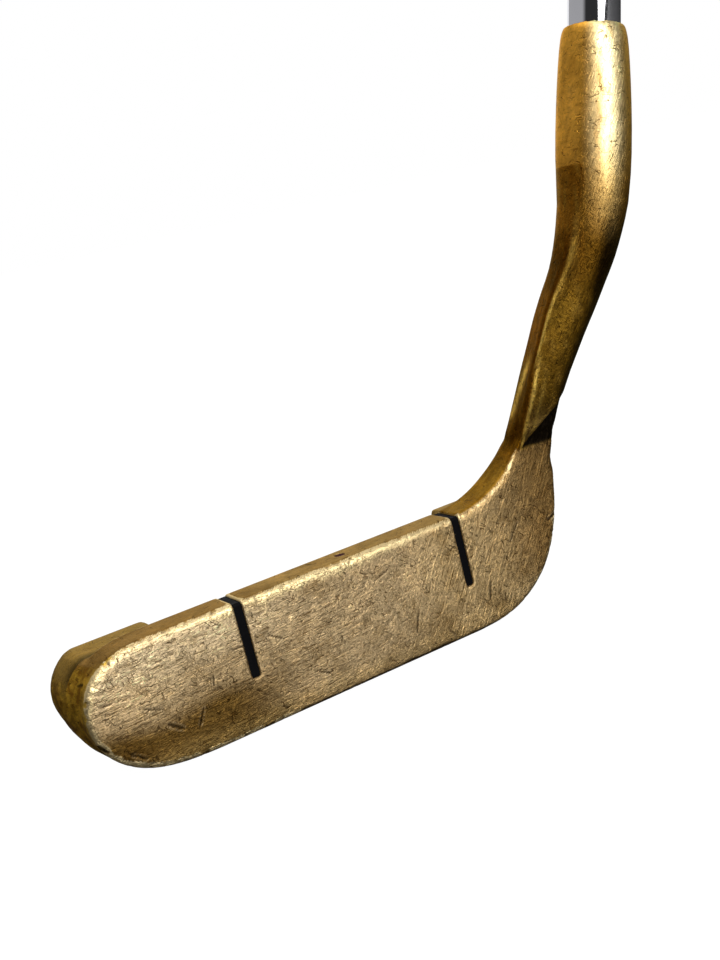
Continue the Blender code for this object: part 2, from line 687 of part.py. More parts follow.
def band(name, q0, q1, lift, thick, mat):
    """Thin tape ring that follows the grip's outline over the wrapped leather."""
    verts = []
    loops = []
    for extra, q in ((lift, q0), (lift + thick, q0 + 0.1), (lift + thick, q1 - 0.1), (lift, q1)):
        row = []
        for k in range(GRIP_SEG):
            turn = 360.0 * k / GRIP_SEG
            row.append(len(verts))
            verts.append(on_shaft(core_radius(q, turn, extra), q, turn))
        loops.append(row)
    faces = []
    for j in range(4):
        a = loops[j]
        b = loops[(j + 1) % 4]
        for k in range(GRIP_SEG):
            n = (k + 1) % GRIP_SEG
            faces.append((a[k], a[n], b[n], b[k]))
    return solid(name, verts, faces, mat)


band("finishing_band", GRIP_Q + 0.6, GRIP_Q + 13.0, LEATHER_T + 0.12, 0.35, BAND)

CAP_R = 13.3
lathe("butt_cap", [(2.1, GRIP_TOP_Q + 3.4), (2.1, GRIP_TOP_Q + 1.3), (BUTT_R + 0.4, GRIP_TOP_Q + 1.3),
                   (BUTT_R + 0.4, GRIP_TOP_Q + 0.25), (CAP_R - 0.5, GRIP_TOP_Q + 0.25),
                   (CAP_R, GRIP_TOP_Q + 0.8), (CAP_R, GRIP_TOP_Q + 4.6), (CAP_R - 0.8, GRIP_TOP_Q + 6.4),
                   (CAP_R - 2.6, GRIP_TOP_Q + 7.3), (CAP_R - 4.5, GRIP_TOP_Q + 7.5),
                   (5.2, GRIP_TOP_Q + 7.5), (4.9, GRIP_TOP_Q + 7.2), (4.9, GRIP_TOP_Q + 3.4)], RUBBER)
PLUG_R = BUTT_R - SHAFT_WALL - 0.05
lathe("butt_plug", [(0.0, BUTT_Q - 26.0), (PLUG_R - 0.6, BUTT_Q - 26.0), (PLUG_R, BUTT_Q - 25.0),
                    (PLUG_R, BUTT_Q - 0.1), (1.55, BUTT_Q - 0.1), (1.55, BUTT_Q - 14.0),
                    (0.0, BUTT_Q - 15.0)], WOOD)
lathe("cap_screw", [(0.0, BUTT_Q - 13.0), (0.4, BUTT_Q - 12.4), (1.4, BUTT_Q - 10.0), (1.5, BUTT_Q + 1.0),
                    (1.5, GRIP_TOP_Q + 3.6), (4.3, GRIP_TOP_Q + 3.6), (4.6, GRIP_TOP_Q + 4.1),
                    (4.5, GRIP_TOP_Q + 5.3), (3.8, GRIP_TOP_Q + 6.2), (2.2, GRIP_TOP_Q + 6.8),
                    (0.0, GRIP_TOP_Q + 7.0)], TACK, 32)
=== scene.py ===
"""Looks of the blade putter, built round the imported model: worn brass head, enamelled sight lines,
chromed stepped shaft and leather-wrapped grip, on a pale floor."""

import json
import math

import bpy
import numpy as np
from mathutils import Matrix, Vector, noise
from mathutils.bvhtree import BVHTree
from mathutils.kdtree import KDTree


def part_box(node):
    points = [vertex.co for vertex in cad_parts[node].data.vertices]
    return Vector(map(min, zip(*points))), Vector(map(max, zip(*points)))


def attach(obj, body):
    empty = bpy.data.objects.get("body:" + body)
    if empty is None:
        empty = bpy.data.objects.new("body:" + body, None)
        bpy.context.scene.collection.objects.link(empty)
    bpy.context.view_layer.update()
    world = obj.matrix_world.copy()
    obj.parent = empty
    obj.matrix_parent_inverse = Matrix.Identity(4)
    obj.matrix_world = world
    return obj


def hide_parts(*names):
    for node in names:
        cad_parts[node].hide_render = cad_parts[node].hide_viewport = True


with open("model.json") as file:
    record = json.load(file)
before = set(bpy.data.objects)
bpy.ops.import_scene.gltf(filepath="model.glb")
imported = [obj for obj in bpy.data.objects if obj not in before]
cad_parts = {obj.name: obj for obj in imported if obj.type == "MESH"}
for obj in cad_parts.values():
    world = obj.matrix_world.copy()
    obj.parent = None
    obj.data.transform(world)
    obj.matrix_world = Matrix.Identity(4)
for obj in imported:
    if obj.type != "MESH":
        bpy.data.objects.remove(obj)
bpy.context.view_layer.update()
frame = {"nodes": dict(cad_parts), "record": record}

MM = 0.001
NODES = frame["nodes"]
MOUNTS = {m["name"]: m for m in frame["record"]["mounts"]}

# ---------------- shaft axis and ramps
def points_of(mesh):
    """Vertex positions as rows of x, y, z, in metres."""
    co = np.empty(len(mesh.vertices) * 3)
    mesh.vertices.foreach_get("co", co)
    return co.reshape(-1, 3)


def shaft_axis():
    """Point where the shaft axis meets the ground, and its direction."""
    co = points_of(NODES["shaft"].data)
    height = co @ np.array(MOUNTS["grip_hold"]["axis"])
    ends = []
    for end in (height.min(), height.max()):
        ring = co[np.abs(height - end) < 0.5 * MM]
        ends.append((ring.min(0) + ring.max(0)) * 0.5)
    way = Vector(ends[1] - ends[0]).normalized()
    start = Vector(ends[0])
    return start - way * (start.z / way.z), way


FOOT, AXIS = shaft_axis()
BACK = Vector((0.0, 1.0, 0.0))
HEELWARD = BACK.cross(AXIS).normalized()


def on_shaft(r, q, turn):
    """Point at radius r and height q up the shaft axis (mm); turn 0 is the heel side, 90 the back."""
    t = math.radians(turn)
    return FOOT + (AXIS * q + HEELWARD * (r * math.cos(t)) + BACK * (r * math.sin(t))) * MM


def shaft_frame(co):
    """Height up the axis, radius and turn of points given in metres, in mm and degrees."""
    rel = (co - np.array(FOOT)) / MM
    q = rel @ np.array(AXIS)
    u = rel @ np.array(HEELWARD)
    v = rel @ np.array(BACK)
    return q, np.hypot(u, v), np.degrees(np.arctan2(v, u))


def span(node):
    """Lowest and highest q and largest radius of a CAD node, in mm."""
    q, r, _ = shaft_frame(points_of(NODES[node].data))
    return q.min(), q.max(), r.max()


def ramp(low, high, value):
    """0 at low, 1 at high, with soft ends; low may be the larger of the two."""
    t = np.clip((value - low) / (high - low), 0.0, 1.0)
    return t * t * (3.0 - 2.0 * t)


# ---------------- node materials
SHAFT_LEAN = 13.85       # degrees from upright
ALONG_SHAFT = (0.0, SHAFT_LEAN, 0.0)


class Nodes:
    """Short calls on a node tree."""

    def __init__(self, tree):
        self.tree = tree

    def put(self, socket, value):
        """Link a socket to the input, or set the input to a plain value."""
        if isinstance(value, bpy.types.NodeSocket):
            self.tree.links.new(value, socket)
        else:
            socket.default_value = value

    def add(self, kind, inputs=(), **props):
        """A new node with these properties, and its inputs set or linked."""
        node = self.tree.nodes.new(kind)
        for key, value in props.items():
            setattr(node, key, value)
        for key, value in dict(inputs).items():
            self.put(node.inputs[key], value)
        return node

    def span(self, value, low, high, to_low=0.0, to_high=1.0):
        """The value moved from low..high to to_low..to_high, with soft ends."""
        return self.add("ShaderNodeMapRange", {
            "Value": value, "From Min": low, "From Max": high, "To Min": to_low, "To Max": to_high,
        }, interpolation_type="SMOOTHSTEP").outputs["Result"]


class Graph(Nodes):
    """A Principled material with short calls for the nodes that these looks use."""

    def __init__(self, name):
        self.mat = bpy.data.materials.new(name)
        self.mat.use_nodes = True
        super().__init__(self.mat.node_tree)
        self.bsdf = self.tree.nodes["Principled BSDF"]
        self.coords = self.add("ShaderNodeTexCoord").outputs["Object"]

    def place(self, grain, turn=(0.0, 0.0, 0.0), move=(0.0, 0.0, 0.0)):
        """Coordinates in units of the grain size (mm), turned (degrees) and moved (mm)."""
        return self.add("ShaderNodeMapping", {
            "Vector": self.coords,
            "Location": tuple(m * MM for m in move),
            "Rotation": tuple(math.radians(a) for a in turn),
            "Scale": tuple(size * MM for size in grain),
        }, vector_type="TEXTURE").outputs["Vector"]

    def noise(self, scale, detail=3.0, rough=0.5, source=None, distortion=0.0):
        return self.add("ShaderNodeTexNoise", {
            "Vector": source or self.coords, "Scale": scale, "Detail": detail,
            "Roughness": rough, "Distortion": distortion,
        }).outputs["Fac"]

    def cells(self, scale, source=None, feature="F1", randomness=1.0):
        return self.add("ShaderNodeTexVoronoi", {
            "Vector": source or self.coords, "Scale": scale, "Randomness": randomness,
        }, feature=feature).outputs["Distance"]

    def math(self, operation, a, b=0.0):
        return self.add("ShaderNodeMath", {0: a, 1: b}, operation=operation).outputs[0]

    def times(self, a, b):
        return self.math("MULTIPLY", a, b)

    def plus(self, a, b):
        return self.math("ADD", a, b)

    def minus(self, a, b):
        return self.math("SUBTRACT", a, b)

    def mix(self, factor, a, b, blend="MIX"):
        """Two colours mixed; a plain colour is given as red, green and blue."""
        a, b = (c if isinstance(c, bpy.types.NodeSocket) else (*c, 1.0) for c in (a, b))
        return self.add("ShaderNodeMix", {"Factor": factor, 6: a, 7: b},
                        data_type="RGBA", blend_type=blend).outputs[2]

    def lines(self, value, centre, half_width):
        """1 on a thin contour of a noise, 0 away from it: a curved hairline."""
        off = self.math("ABSOLUTE", self.minus(value, centre))
        return self.span(off, half_width, half_width * 0.3)

    def attribute(self, name, output="Fac"):
        return self.add("ShaderNodeAttribute", attribute_name=name).outputs[output]

    def bump(self, height, distance_mm, strength=1.0):
        return self.add("ShaderNodeBump", {
            "Height": height, "Distance": distance_mm * MM, "Strength": strength,
        }).outputs["Normal"]

    def finish(self, **sockets):
        """Set the Principled inputs, named with _ for a space, and give the material."""
        for key, value in sockets.items():
            self.put(self.bsdf.inputs[key.replace("_", " ")], value)
        return self.mat


def brass_material():
    """Old brass: zone colour from the mesh, brush marks, gouges, mottled patina, bright worn edges."""
    g = Graph("old_brass")
    tone = g.attribute("tone", "Color")
    wear = g.attribute("wear")
    grime = g.attribute("grime")
    milled = g.attribute("milled")
    polish = g.attribute("polish")
    unpolished = g.minus(1.0, polish)

    # mottling at three sizes
    broad = g.noise(1.0, 4.0, 0.6, g.place((11.0, 11.0, 11.0)))
    middle = g.noise(1.0, 4.0, 0.62, g.place((2.4, 2.4, 2.4)), 0.6)
    fine = g.noise(1.0, 3.0, 0.6, g.place((0.42, 0.42, 0.42)))

    # brush marks: along the face at the toe, on a slant at the heel, short strokes everywhere
    def strokes(grain, tilt, move=(0.0, 0.0, 0.0)):
        """Stretched noise, tilted in the plane of the face (degrees)."""
        return g.noise(1.0, 2.0, 0.6, g.place(grain, (0.0, tilt, 0.0), move))

    along = strokes((4.0, 0.6, 0.20), -4.0)
    slant = strokes((5.0, 0.6, 0.22), -56.0)
    cross = strokes((1.5, 0.8, 0.20), 62.0, (7.0, 0.0, 3.0))
    short = strokes((1.2, 0.8, 0.22), -27.0, (3.0, 1.0, 9.0))
    upright = strokes((1.6, 0.8, 0.22), -86.0, (1.0, 4.0, 5.0))
    side = g.add("ShaderNodeSeparateXYZ", {0: g.coords}).outputs["X"]
    at_heel = g.span(side, -0.012, 0.022)
    main = g.plus(g.times(along, g.minus(1.0, at_heel)), g.times(slant, at_heel))
    light = g.math("MAXIMUM", g.span(main, 0.57, 0.66), g.span(short, 0.62, 0.70))
    light = g.math("MAXIMUM", light, g.times(g.span(cross, 0.63, 0.70), 0.8))
    dark = g.math("MAXIMUM", g.span(main, 0.42, 0.34), g.span(upright, 0.35, 0.28))
    dark = g.math("MAXIMUM", dark, g.span(cross, 0.34, 0.27))
    # longer gouges, few and far between, and small pits
    gouge_a = g.lines(g.noise(330.0, 1.0, 0.4, distortion=0.7), 0.5, 0.010)
    stretched = g.place((4.5, 4.5, 1.6), (0.0, 35.0, 0.0), (20.0, 3.0, 8.0))
    gouge_b = g.lines(g.noise(1.0, 1.0, 0.4, stretched), 0.46, 0.012)
    gate = g.noise(1.0, 1.0, 0.5, g.place((1.7, 1.7, 1.7), move=(9.0, 4.0, 1.0)))
    gate = g.span(gate, 0.52, 0.60)
    gouges = g.times(g.math("MAXIMUM", gouge_a, gouge_b), gate)
    pits = g.span(g.cells(1.0, g.place((1.5, 1.5, 1.1))), 0.17, 0.10)
    pits = g.times(pits, g.span(middle, 0.50, 0.60))

    def scaled(colour, factor, share):
        """The colour multiplied by a factor where share is 1."""
        return g.mix(share, colour, g.mix(1.0, colour, factor, "MULTIPLY"))

    colour = scaled(tone, (0.74, 0.70, 0.62), g.span(broad, 0.50, 0.68))
    colour = scaled(colour, (1.22, 1.20, 1.18), g.span(broad, 0.48, 0.34))
    colour = scaled(colour, (1.28, 1.26, 1.20), g.times(g.span(middle, 0.52, 0.66), 0.7))
    colour = scaled(colour, (0.70, 0.66, 0.58), g.times(g.span(middle, 0.48, 0.34), 0.7))
    colour = scaled(colour, (0.72, 0.70, 0.66), g.times(g.span(fine, 0.50, 0.36), unpolished))
    marks = g.span(milled, 0.0, 1.0, 0.28, 0.85)
    marks = g.times(marks, g.span(polish, 0.0, 1.0, 1.0, 0.45))
    colour = scaled(colour, (1.55, 1.50, 1.40), g.times(light, marks))
    colour = scaled(colour, (0.40, 0.35, 0.26), g.times(dark, marks))
    colour = scaled(colour, (0.28, 0.23, 0.18), g.times(gouges, 0.8))
    pitted = g.times(pits, g.span(polish, 0.0, 1.0, 0.35, 0.9))
    colour = scaled(colour, (0.20, 0.15, 0.10), pitted)
    # thin dark rings left by the lathe on the polished barrel
    ring = strokes((2.6, 2.6, 0.20), SHAFT_LEAN, (5.0, 2.0, 0.0))
    turned = g.times(g.span(ring, 0.36, 0.28), g.times(polish, 0.9))
    colour = scaled(colour, (0.42, 0.32, 0.20), turned)
    # bright worn edges with a ragged, chipped border
    ragged = g.plus(wear, g.times(g.minus(middle, 0.5), 1.1))
    ragged = g.plus(ragged, g.times(g.minus(fine, 0.5), 0.7))
    rubbed = g.times(g.span(ragged, 0.42, 0.72), g.span(wear, 0.12, 0.40))
    bare = g.mix(fine, (0.96, 0.77, 0.42), (0.76, 0.57, 0.27))
    colour = g.mix(g.times(rubbed, 0.92), colour, bare)
    dirty = g.times(grime, g.span(middle, 0.3, 0.7, 0.75, 1.0))
    colour = g.mix(dirty, colour, (0.018, 0.012, 0.006))

    # roughness and relief
    rough = g.span(fine, 0.2, 0.8, 0.38, 0.52)
    rough = g.minus(rough, g.times(polish, 0.05))
    rough = g.minus(rough, g.times(rubbed, 0.08))
    rough = g.plus(rough, g.times(grime, 0.25))
    height = g.times(fine, g.span(polish, 0.0, 1.0, 0.9, 0.03))
    brushed = g.times(g.minus(light, dark), marks)
    height = g.plus(height, g.times(brushed, 0.5))
    height = g.minus(height, g.times(gouges, 0.9))
    height = g.minus(height, g.times(pits, 0.8))
    height = g.plus(height, g.times(middle, g.span(polish, 0.0, 1.0, 1.8, 0.35)))
    normal = g.bump(height, 0.075)
    return g.finish(Base_Color=colour, Metallic=1.0, Roughness=rough, Normal=normal,
                    Specular_Tint=(0.94, 0.80, 0.54, 1.0))


def enamel_material(name, colour, worn):
    """Brushed-in enamel: uneven sheen and a few worn specks."""
    g = Graph(name)
    patches = g.noise(900.0, 3.0, 0.6)
    base = g.mix(g.span(patches, 0.62, 0.8, 0.0, 0.5), colour, worn)
    rough = g.span(g.noise(500.0), 0.3, 0.7, 0.55, 0.75)
    normal = g.bump(g.noise(1400.0, 4.0, 0.6), 0.04, 0.6)
    return g.finish(Base_Color=base, Roughness=rough, Normal=normal, Specular_IOR_Level=0.08)


def chrome_material():
    """Chromed tube: near mirror, with faint draw lines and haze."""
    g = Graph("chrome")
    drawn = g.noise(1.0, 3.0, 0.6, g.place((0.4, 0.4, 16.0), ALONG_SHAFT))
    haze = g.noise(40.0, 4.0, 0.6)
    base = g.mix(g.span(haze, 0.4, 0.75, 0.0, 0.4), (0.80, 0.80, 0.83), (0.62, 0.61, 0.62))
    rough = g.span(haze, 0.35, 0.75, 0.05, 0.13)
    normal = g.bump(drawn, 0.004, 0.5)
    return g.finish(Base_Color=base, Metallic=1.0, Roughness=rough, Normal=normal)


def leather_material():
    """Black calf leather: grain cells, fine creases, a browner worn hand zone."""
    g = Graph("leather")
    grain = g.cells(950.0, feature="DISTANCE_TO_EDGE")
    small = g.cells(2100.0, feature="DISTANCE_TO_EDGE")
    crease = g.noise(260.0, 4.0, 0.7, distortion=0.8)
    worn = g.noise(30.0, 4.0, 0.6)
    rim = g.attribute("rim")
    base = g.mix(g.span(worn, 0.45, 0.75, 0.0, 0.7), (0.020, 0.017, 0.015), (0.060, 0.040, 0.028))
    base = g.mix(g.times(rim, g.span(crease, 0.35, 0.65)), base, (0.110, 0.070, 0.042))
    rough = g.span(worn, 0.3, 0.8, 0.62, 0.42)
    height = g.plus(g.span(grain, 0.0, 0.12), g.times(g.span(small, 0.0, 0.1), 0.4))
    height = g.plus(height, g.times(crease, 1.2))
    pores = g.span(g.cells(330.0, randomness=0.15), 0.14, 0.20)
    height = g.plus(height, g.times(pores, 1.6))
    base = g.mix(pores, (0.006, 0.005, 0.005), base)
    normal = g.bump(height, 0.10, 0.8)
    return g.finish(Base_Color=base, Roughness=rough, Normal=normal)


def rubber_material(name, colour):
    """Moulded rubber: matt, faint bloom and moulding grain."""
    g = Graph(name)
    bloom = g.noise(120.0, 4.0, 0.6)
    base = g.mix(g.span(bloom, 0.45, 0.75, 0.0, 0.6), colour, tuple(c * 2.2 + 0.008 for c in colour))
    rough = g.span(bloom, 0.3, 0.8, 0.52, 0.74)
    normal = g.bump(g.noise(1800.0, 3.0, 0.6), 0.03, 0.7)
    return g.finish(Base_Color=base, Roughness=rough, Normal=normal)


def plain_material(name, dark, light, grain_mm, roughness, metallic=0.0, relief=0.03):
    """Two close shades mixed by a grain, for cork, wood, tape, glue and turned brass."""
    g = Graph(name)
    grain = g.noise(1.0, 4.0, 0.6, g.place(grain_mm, ALONG_SHAFT))
    base = g.mix(g.span(grain, 0.35, 0.65), dark, light)
    rough = g.span(grain, 0.3, 0.7, roughness - 0.08, roughness + 0.08)
    normal = g.bump(grain, relief, 0.7)
    return g.finish(Base_Color=base, Metallic=metallic, Roughness=rough, Normal=normal)


# ---------------- mesh helpers
def new_object(name, data):
    obj = bpy.data.objects.new(name, data)
    bpy.context.scene.collection.objects.link(obj)
    return obj


def evaluated_mesh(obj):
    """A new mesh of the object with its modifiers applied."""
    bpy.context.view_layer.update()
    graph = bpy.context.evaluated_depsgraph_get()
    return bpy.data.meshes.new_from_object(obj.evaluated_get(graph))


def search_tree(points):
    tree = KDTree(len(points))
    for k, p in enumerate(points):
        tree.insert(p, k)
    tree.balance()
    return tree


def new_piece(name, mesh, material, node):
    """A visible piece on the one body, in place of a CAD node."""
    obj = new_object(name, mesh)
    mesh.materials.clear()
    mesh.materials.append(material)
    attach(obj, "root")
    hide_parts(node)
    return obj


def smooth_mesh(name, verts, faces, sharp_angle=40.0):
    """Smooth-shaded mesh with sharp edges where faces meet at more than an angle in degrees."""
    mesh = bpy.data.meshes.new(name)
    mesh.from_pydata([tuple(v) for v in verts], [], faces)
    mesh.validate()
    for poly in mesh.polygons:
        poly.use_smooth = True
    mesh.set_sharp_from_angle(angle=math.radians(sharp_angle))
    return mesh


def turned_mesh(name, profile, segments, sharp_angle):
    """Body of revolution about the shaft axis from a closed loop of (r, q) in mm."""
    verts = []
    rings = []
    for r, q in profile:
        turns = [0.0] if r < 1e-6 else [360.0 * k / segments for k in range(segments)]
        rings.append(list(range(len(verts), len(verts) + len(turns))))
        verts += [on_shaft(r, q, t) for t in turns]
    faces = []
    for a, b in zip(rings, rings[1:] + rings[:1]):
        if len(a) == 1 and len(b) == 1:
            continue
        for k in range(segments):
            n = (k + 1) % segments
            if len(a) == 1:
                faces.append((a[0], b[k], b[n]))
            elif len(b) == 1:
                faces.append((a[k], b[0], a[n]))
            else:
                faces.append((a[k], b[k], b[n], a[n]))
    return smooth_mesh(name, verts, faces, sharp_angle)


def outline_of(node):
    """Outer radius and height of a turned CAD node at each of its heights, lowest first."""
    q, r, _ = shaft_frame(points_of(NODES[node].data))
    found = {}
    for height, radius in zip(np.round(q, 2), r):
        found[height] = max(found.get(height, 0.0), radius)
    return [(found[height], height) for height in sorted(found)]


def neighbours(mesh):
    """The two point numbers of each edge."""
    pairs = np.empty(len(mesh.edges) * 2, np.int32)
    mesh.edges.foreach_get("vertices", pairs)
    return pairs.reshape(-1, 2)


def average(co, pairs):
    """Mean of each point's neighbours."""
    count = len(co)
    a, b = pairs[:, 0], pairs[:, 1]
    degree = np.bincount(a, minlength=count) + np.bincount(b, minlength=count)
    out = np.empty_like(co)
    for k in range(co.shape[1]):
        out[:, k] = np.bincount(a, co[b, k], count) + np.bincount(b, co[a, k], count)
    return out / np.maximum(degree, 1)[:, None]


def relax(co, pairs, rounds, amount):
    """Move each point a share of the way to the mean of its neighbours, round after round."""
    for _ in range(rounds):
        co = co + (average(co, pairs) - co) * amount
    return co


def field(co, scale, seed):
    """Smooth noise at each point, about -1 to 1."""
    shift = Vector((seed * 3.1, seed * 1.7, seed * 2.3))
    return np.array([noise.noise(Vector(p) * scale + shift) for p in co])


def store(mesh, name, values):
    """Keep a number or a colour for each point as a mesh attribute that the materials read."""
    kind = "FLOAT" if values.ndim == 1 else "FLOAT_COLOR"
    attribute = mesh.attributes.new(name, kind, "POINT")
    if values.ndim == 1:
        attribute.data.foreach_set("value", values.astype(np.float32))
    else:
        full = np.ones((len(values), 4), np.float32)
        full[:, :3] = values
        attribute.data.foreach_set("color", full.ravel())


# ---------------- head
VOXEL = 0.26             # mm between the points of the dense head
ON_FACE = 1.2            # mm to either side of the face plane that gouges reach
STRIKE = MOUNTS["strike_face"]
LOFT_TAN = -STRIKE["axis"][2] / STRIKE["axis"][1]
FACE_POINT = STRIKE["pos_m"]
LINE_LOW, LINE_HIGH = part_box("toe_sight_line_paint")
HEEL_LOW, HEEL_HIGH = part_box("heel_sight_line_paint")
LINE_XS = ((LINE_LOW.x + LINE_HIGH.x) * 0.5 / MM, (HEEL_LOW.x + HEEL_HIGH.x) * 0.5 / MM)
BLADE_BACK = LINE_HIGH.y / MM + 0.35
BARREL_Q = 79.0          # where the turned barrel starts, mm up the shaft axis
BARREL_TOP = 106.8       # just below the barrel's top edge, mm up the shaft axis
BORE_WALL = 5.36         # every barrel point further out than this is on its outside, mm
SCOOP_FOOT = 30.5        # height where the milled face ends under the neck, mm
WAIST = (33.9, 28.6)     # heights of the neck root's narrowest places, toe side and heel side, mm


def face_y(z):
    """Depth of the face plane at height z, both in mm."""
    return FACE_POINT[1] / MM + (z - FACE_POINT[2] / MM) * LOFT_TAN


DENT_SEED, EDGE_DENTS, FACE_DENTS = 11, 90, 70
# Gouges on the face: (x, z) of both ends, half width, depth, all in mm
GOUGES = (
    (-26.6, 15.9, -23.7, 15.6, 0.22, 0.16), (-39.6, 19.0, -38.2, 18.7, 0.24, 0.12),
    (-30.4, 13.2, -30.9, 11.2, 0.18, 0.12), (-33.5, 8.7, -35.3, 5.3, 0.20, 0.12),
    (-40.4, 8.3, -37.6, 6.3, 0.30, 0.22), (-50.6, 15.4, -48.0, 15.1, 0.20, 0.14),
    (-52.3, 9.4, -50.8, 7.6, 0.40, 0.30), (-19.3, 16.0, -16.5, 14.2, 0.20, 0.12),
    (27.6, 9.1, 26.5, 5.1, 0.24, 0.20), (30.2, 6.1, 30.0, 3.9, 0.20, 0.15),
    (43.4, 15.6, 46.0, 16.6, 0.30, 0.30), (44.1, 13.5, 44.6, 12.6, 0.30, 0.25),
    (10.8, 9.3, 9.3, 5.0, 0.22, 0.14), (-43.5, 12.2, -40.2, 10.9, 0.20, 0.10),
    (-12.0, 6.4, -9.6, 5.0, 0.20, 0.12), (3.5, 17.6, 6.6, 18.6, 0.18, 0.10),
    (-5.8, 11.0, -5.2, 8.6, 0.16, 0.10), (33.8, 14.5, 36.5, 17.8, 0.16, 0.08),
    (-47.6, 6.0, -45.0, 4.1, 0.22, 0.16), (16.0, 3.4, 17.6, 1.8, 0.24, 0.16),
)
# Where the ridge between the toe flat and the front flat of the neck runs: heights and x, in mm
RIDGE_Z = (31.0, 36.2, 43.5, 49.6, 55.7, 64.0, 69.0, 74.0)
RIDGE_X = (41.2, 42.75, 44.86, 46.98, 49.55, 53.6, 56.43, 59.4)


def groove(x, z, ends, half):
    """1 on the middle of a straight gouge, falling to 0 at its sides and its two points."""
    x0, z0, x1, z1 = ends
    dx, dz = x1 - x0, z1 - z0
    t = np.clip(((x - x0) * dx + (z - z0) * dz) / (dx * dx + dz * dz), 0.0, 1.0)
    away = np.hypot(x - x0 - t * dx, z - z0 - t * dz)
    width = half * np.sqrt(np.clip(1.0 - (2.0 * t - 1.0) ** 4, 0.05, 1.0))
    return np.clip(1.0 - away / width, 0.0, 1.0)


def neck_front_y(x, z):
    """The cast front flat of the lower neck, in mm."""
    return 12.99 - 0.3994 * x - 0.1631 * z


def scoop_edge_z(x):
    """Lower edge of the neck's front flat above the cutter's scoop, in mm."""
    return 31.0 + 0.86 * (x - 41.3)


def barrel_radius(q):
    """Radius of the turned barrel, from the rings of the CAD head."""
    height, radius, _ = shaft_frame(points_of(NODES["head"].data))
    outer = (height > BARREL_Q + 0.5) & (radius > BORE_WALL) & (height < BARREL_TOP)
    rings = []
    for level in np.unique(np.round(height[outer], 1)):
        ring = outer & (np.abs(height - level) < 0.06)
        if ring.sum() > 20:
            rings.append((level, np.median(radius[ring])))
    return np.interp(q, [level for level, _ in rings], [r for _, r in rings])


def shape_scoop(co):
    """Undercut the neck above the face: the cast front flat ends in an overhanging edge."""
    x, y, z = (co / MM).T
    edge = scoop_edge_z(x)
    inside = (z > SCOOP_FOOT) & (z < edge) & (x > 41.0) & (x < 52.0)
    wall = face_y(z) - 0.30 * (z - SCOOP_FOOT)
    y = np.where(inside & (y < wall), wall, y)
    flat = neck_front_y(x, z)
    share = ramp(edge, edge + 0.2, z) * (1.0 - ramp(edge + 2.5, edge + 5.5, z))
    share = share * ramp(42.4, 44.0, x) * (x < 49.0) * (y < face_y(z) + 0.3) * (z < 42.0)
    y = y + np.minimum(flat - y, 0.0) * share * (flat - y > -1.8)
    co = co.copy()
    co[:, 1] = y * MM
    return co


def fill_neck_root(co):
    """Draw both outlines of the neck's root into the long curves of a casting."""
    x, y, z = (co / MM).T
    ridge = np.interp(z, RIDGE_Z, RIDGE_X)
    toe = ramp(0.8, 2.6, y - neck_front_y(x, z)) * ramp(ridge + 2.5, ridge + 0.6, x)
    toe = 0.75 * toe * np.exp(-((z - WAIST[0]) / np.where(z < WAIST[0], 1.7, 2.4)) ** 2)
    heel = np.exp(-((z - WAIST[1]) / np.where(z < WAIST[1], 5.5, 3.2)) ** 2)
    heel = 0.85 * heel * ramp(44.5, 46.8, x)
    co = co.copy()
    co[:, 0] += (heel - toe) * MM
    return co


def dense_head():
    """The CAD head as a fine even mesh, with a smooth neck, a true barrel, the scoop and the wear."""
    mesh = NODES["head"].data
    tree = BVHTree.FromPolygons([v.co for v in mesh.vertices], [p.vertices for p in mesh.polygons])
    scratch = new_object("dense", mesh.copy())
    skin = scratch.modifiers.new("skin", "REMESH")
    skin.mode = "VOXEL"
    skin.voxel_size = VOXEL * MM
    dense = evaluated_mesh(scratch)
    bpy.data.objects.remove(scratch, do_unlink=True)
    dense.name = "worn_head"
    pairs = neighbours(dense)
    co = relax(points_of(dense), pairs, 2, 0.5)
    co = np.array([tree.find_nearest(Vector(p))[0] for p in co])
    # the neck is one smooth casting: take the facets out of it
    q, r, _ = shaft_frame(co)
    z = co[:, 2] / MM
    neck = ramp(31.5, 38.0, z) * (1.0 - ramp(90.0, 94.0, q))
    for _ in range(30):
        for amount in (0.5, -0.52):
            co = co + (average(co, pairs) - co) * (amount * neck)[:, None]
    # so are the places where it runs into the blade
    x, y, z = (co / MM).T
    behind = y - face_y(z)

    def near(x_mm, z_mm, reach):
        return np.exp(-((x - x_mm) ** 2 + (z - z_mm) ** 2) / reach ** 2)

    inner = near(40.3, 29.3, 3.2) * ramp(0.8, 2.2, behind)
    corner = near(42.0, 33.8, 2.6) * ramp(1.6, 3.0, behind)
    heel = near(47.2, 27.6, 2.4)
    above = near(49.0, 38.8, 2.4)
    soft = np.maximum.reduce((inner, corner, 0.7 * heel, 0.8 * above))
    for _ in range(60):
        co = co + (average(co, pairs) - co) * (0.8 * soft)[:, None]
    co = fill_neck_root(co)
    # the barrel is turned: true circles on a smooth outline
    q, r, _ = shaft_frame(co)
    share = ramp(84.0, 92.0, q) * (r > BORE_WALL) * (1.0 - ramp(104.6, 105.6, q))
    outward = (co - np.array(FOOT)) / MM - q[:, None] * np.array(AXIS)
    outward /= np.maximum(np.linalg.norm(outward, axis=1), 1e-9)[:, None]
    co = co + outward * ((barrel_radius(q) - r) * share * MM)[:, None]
    co = shape_scoop(co)
    # round every edge a little
    co = relax(co, pairs, 3, 0.5)
    co, rim = wear_down(co)
    dense.vertices.foreach_set("co", co.ravel())
    dense.update()
    return dense, pairs, rim


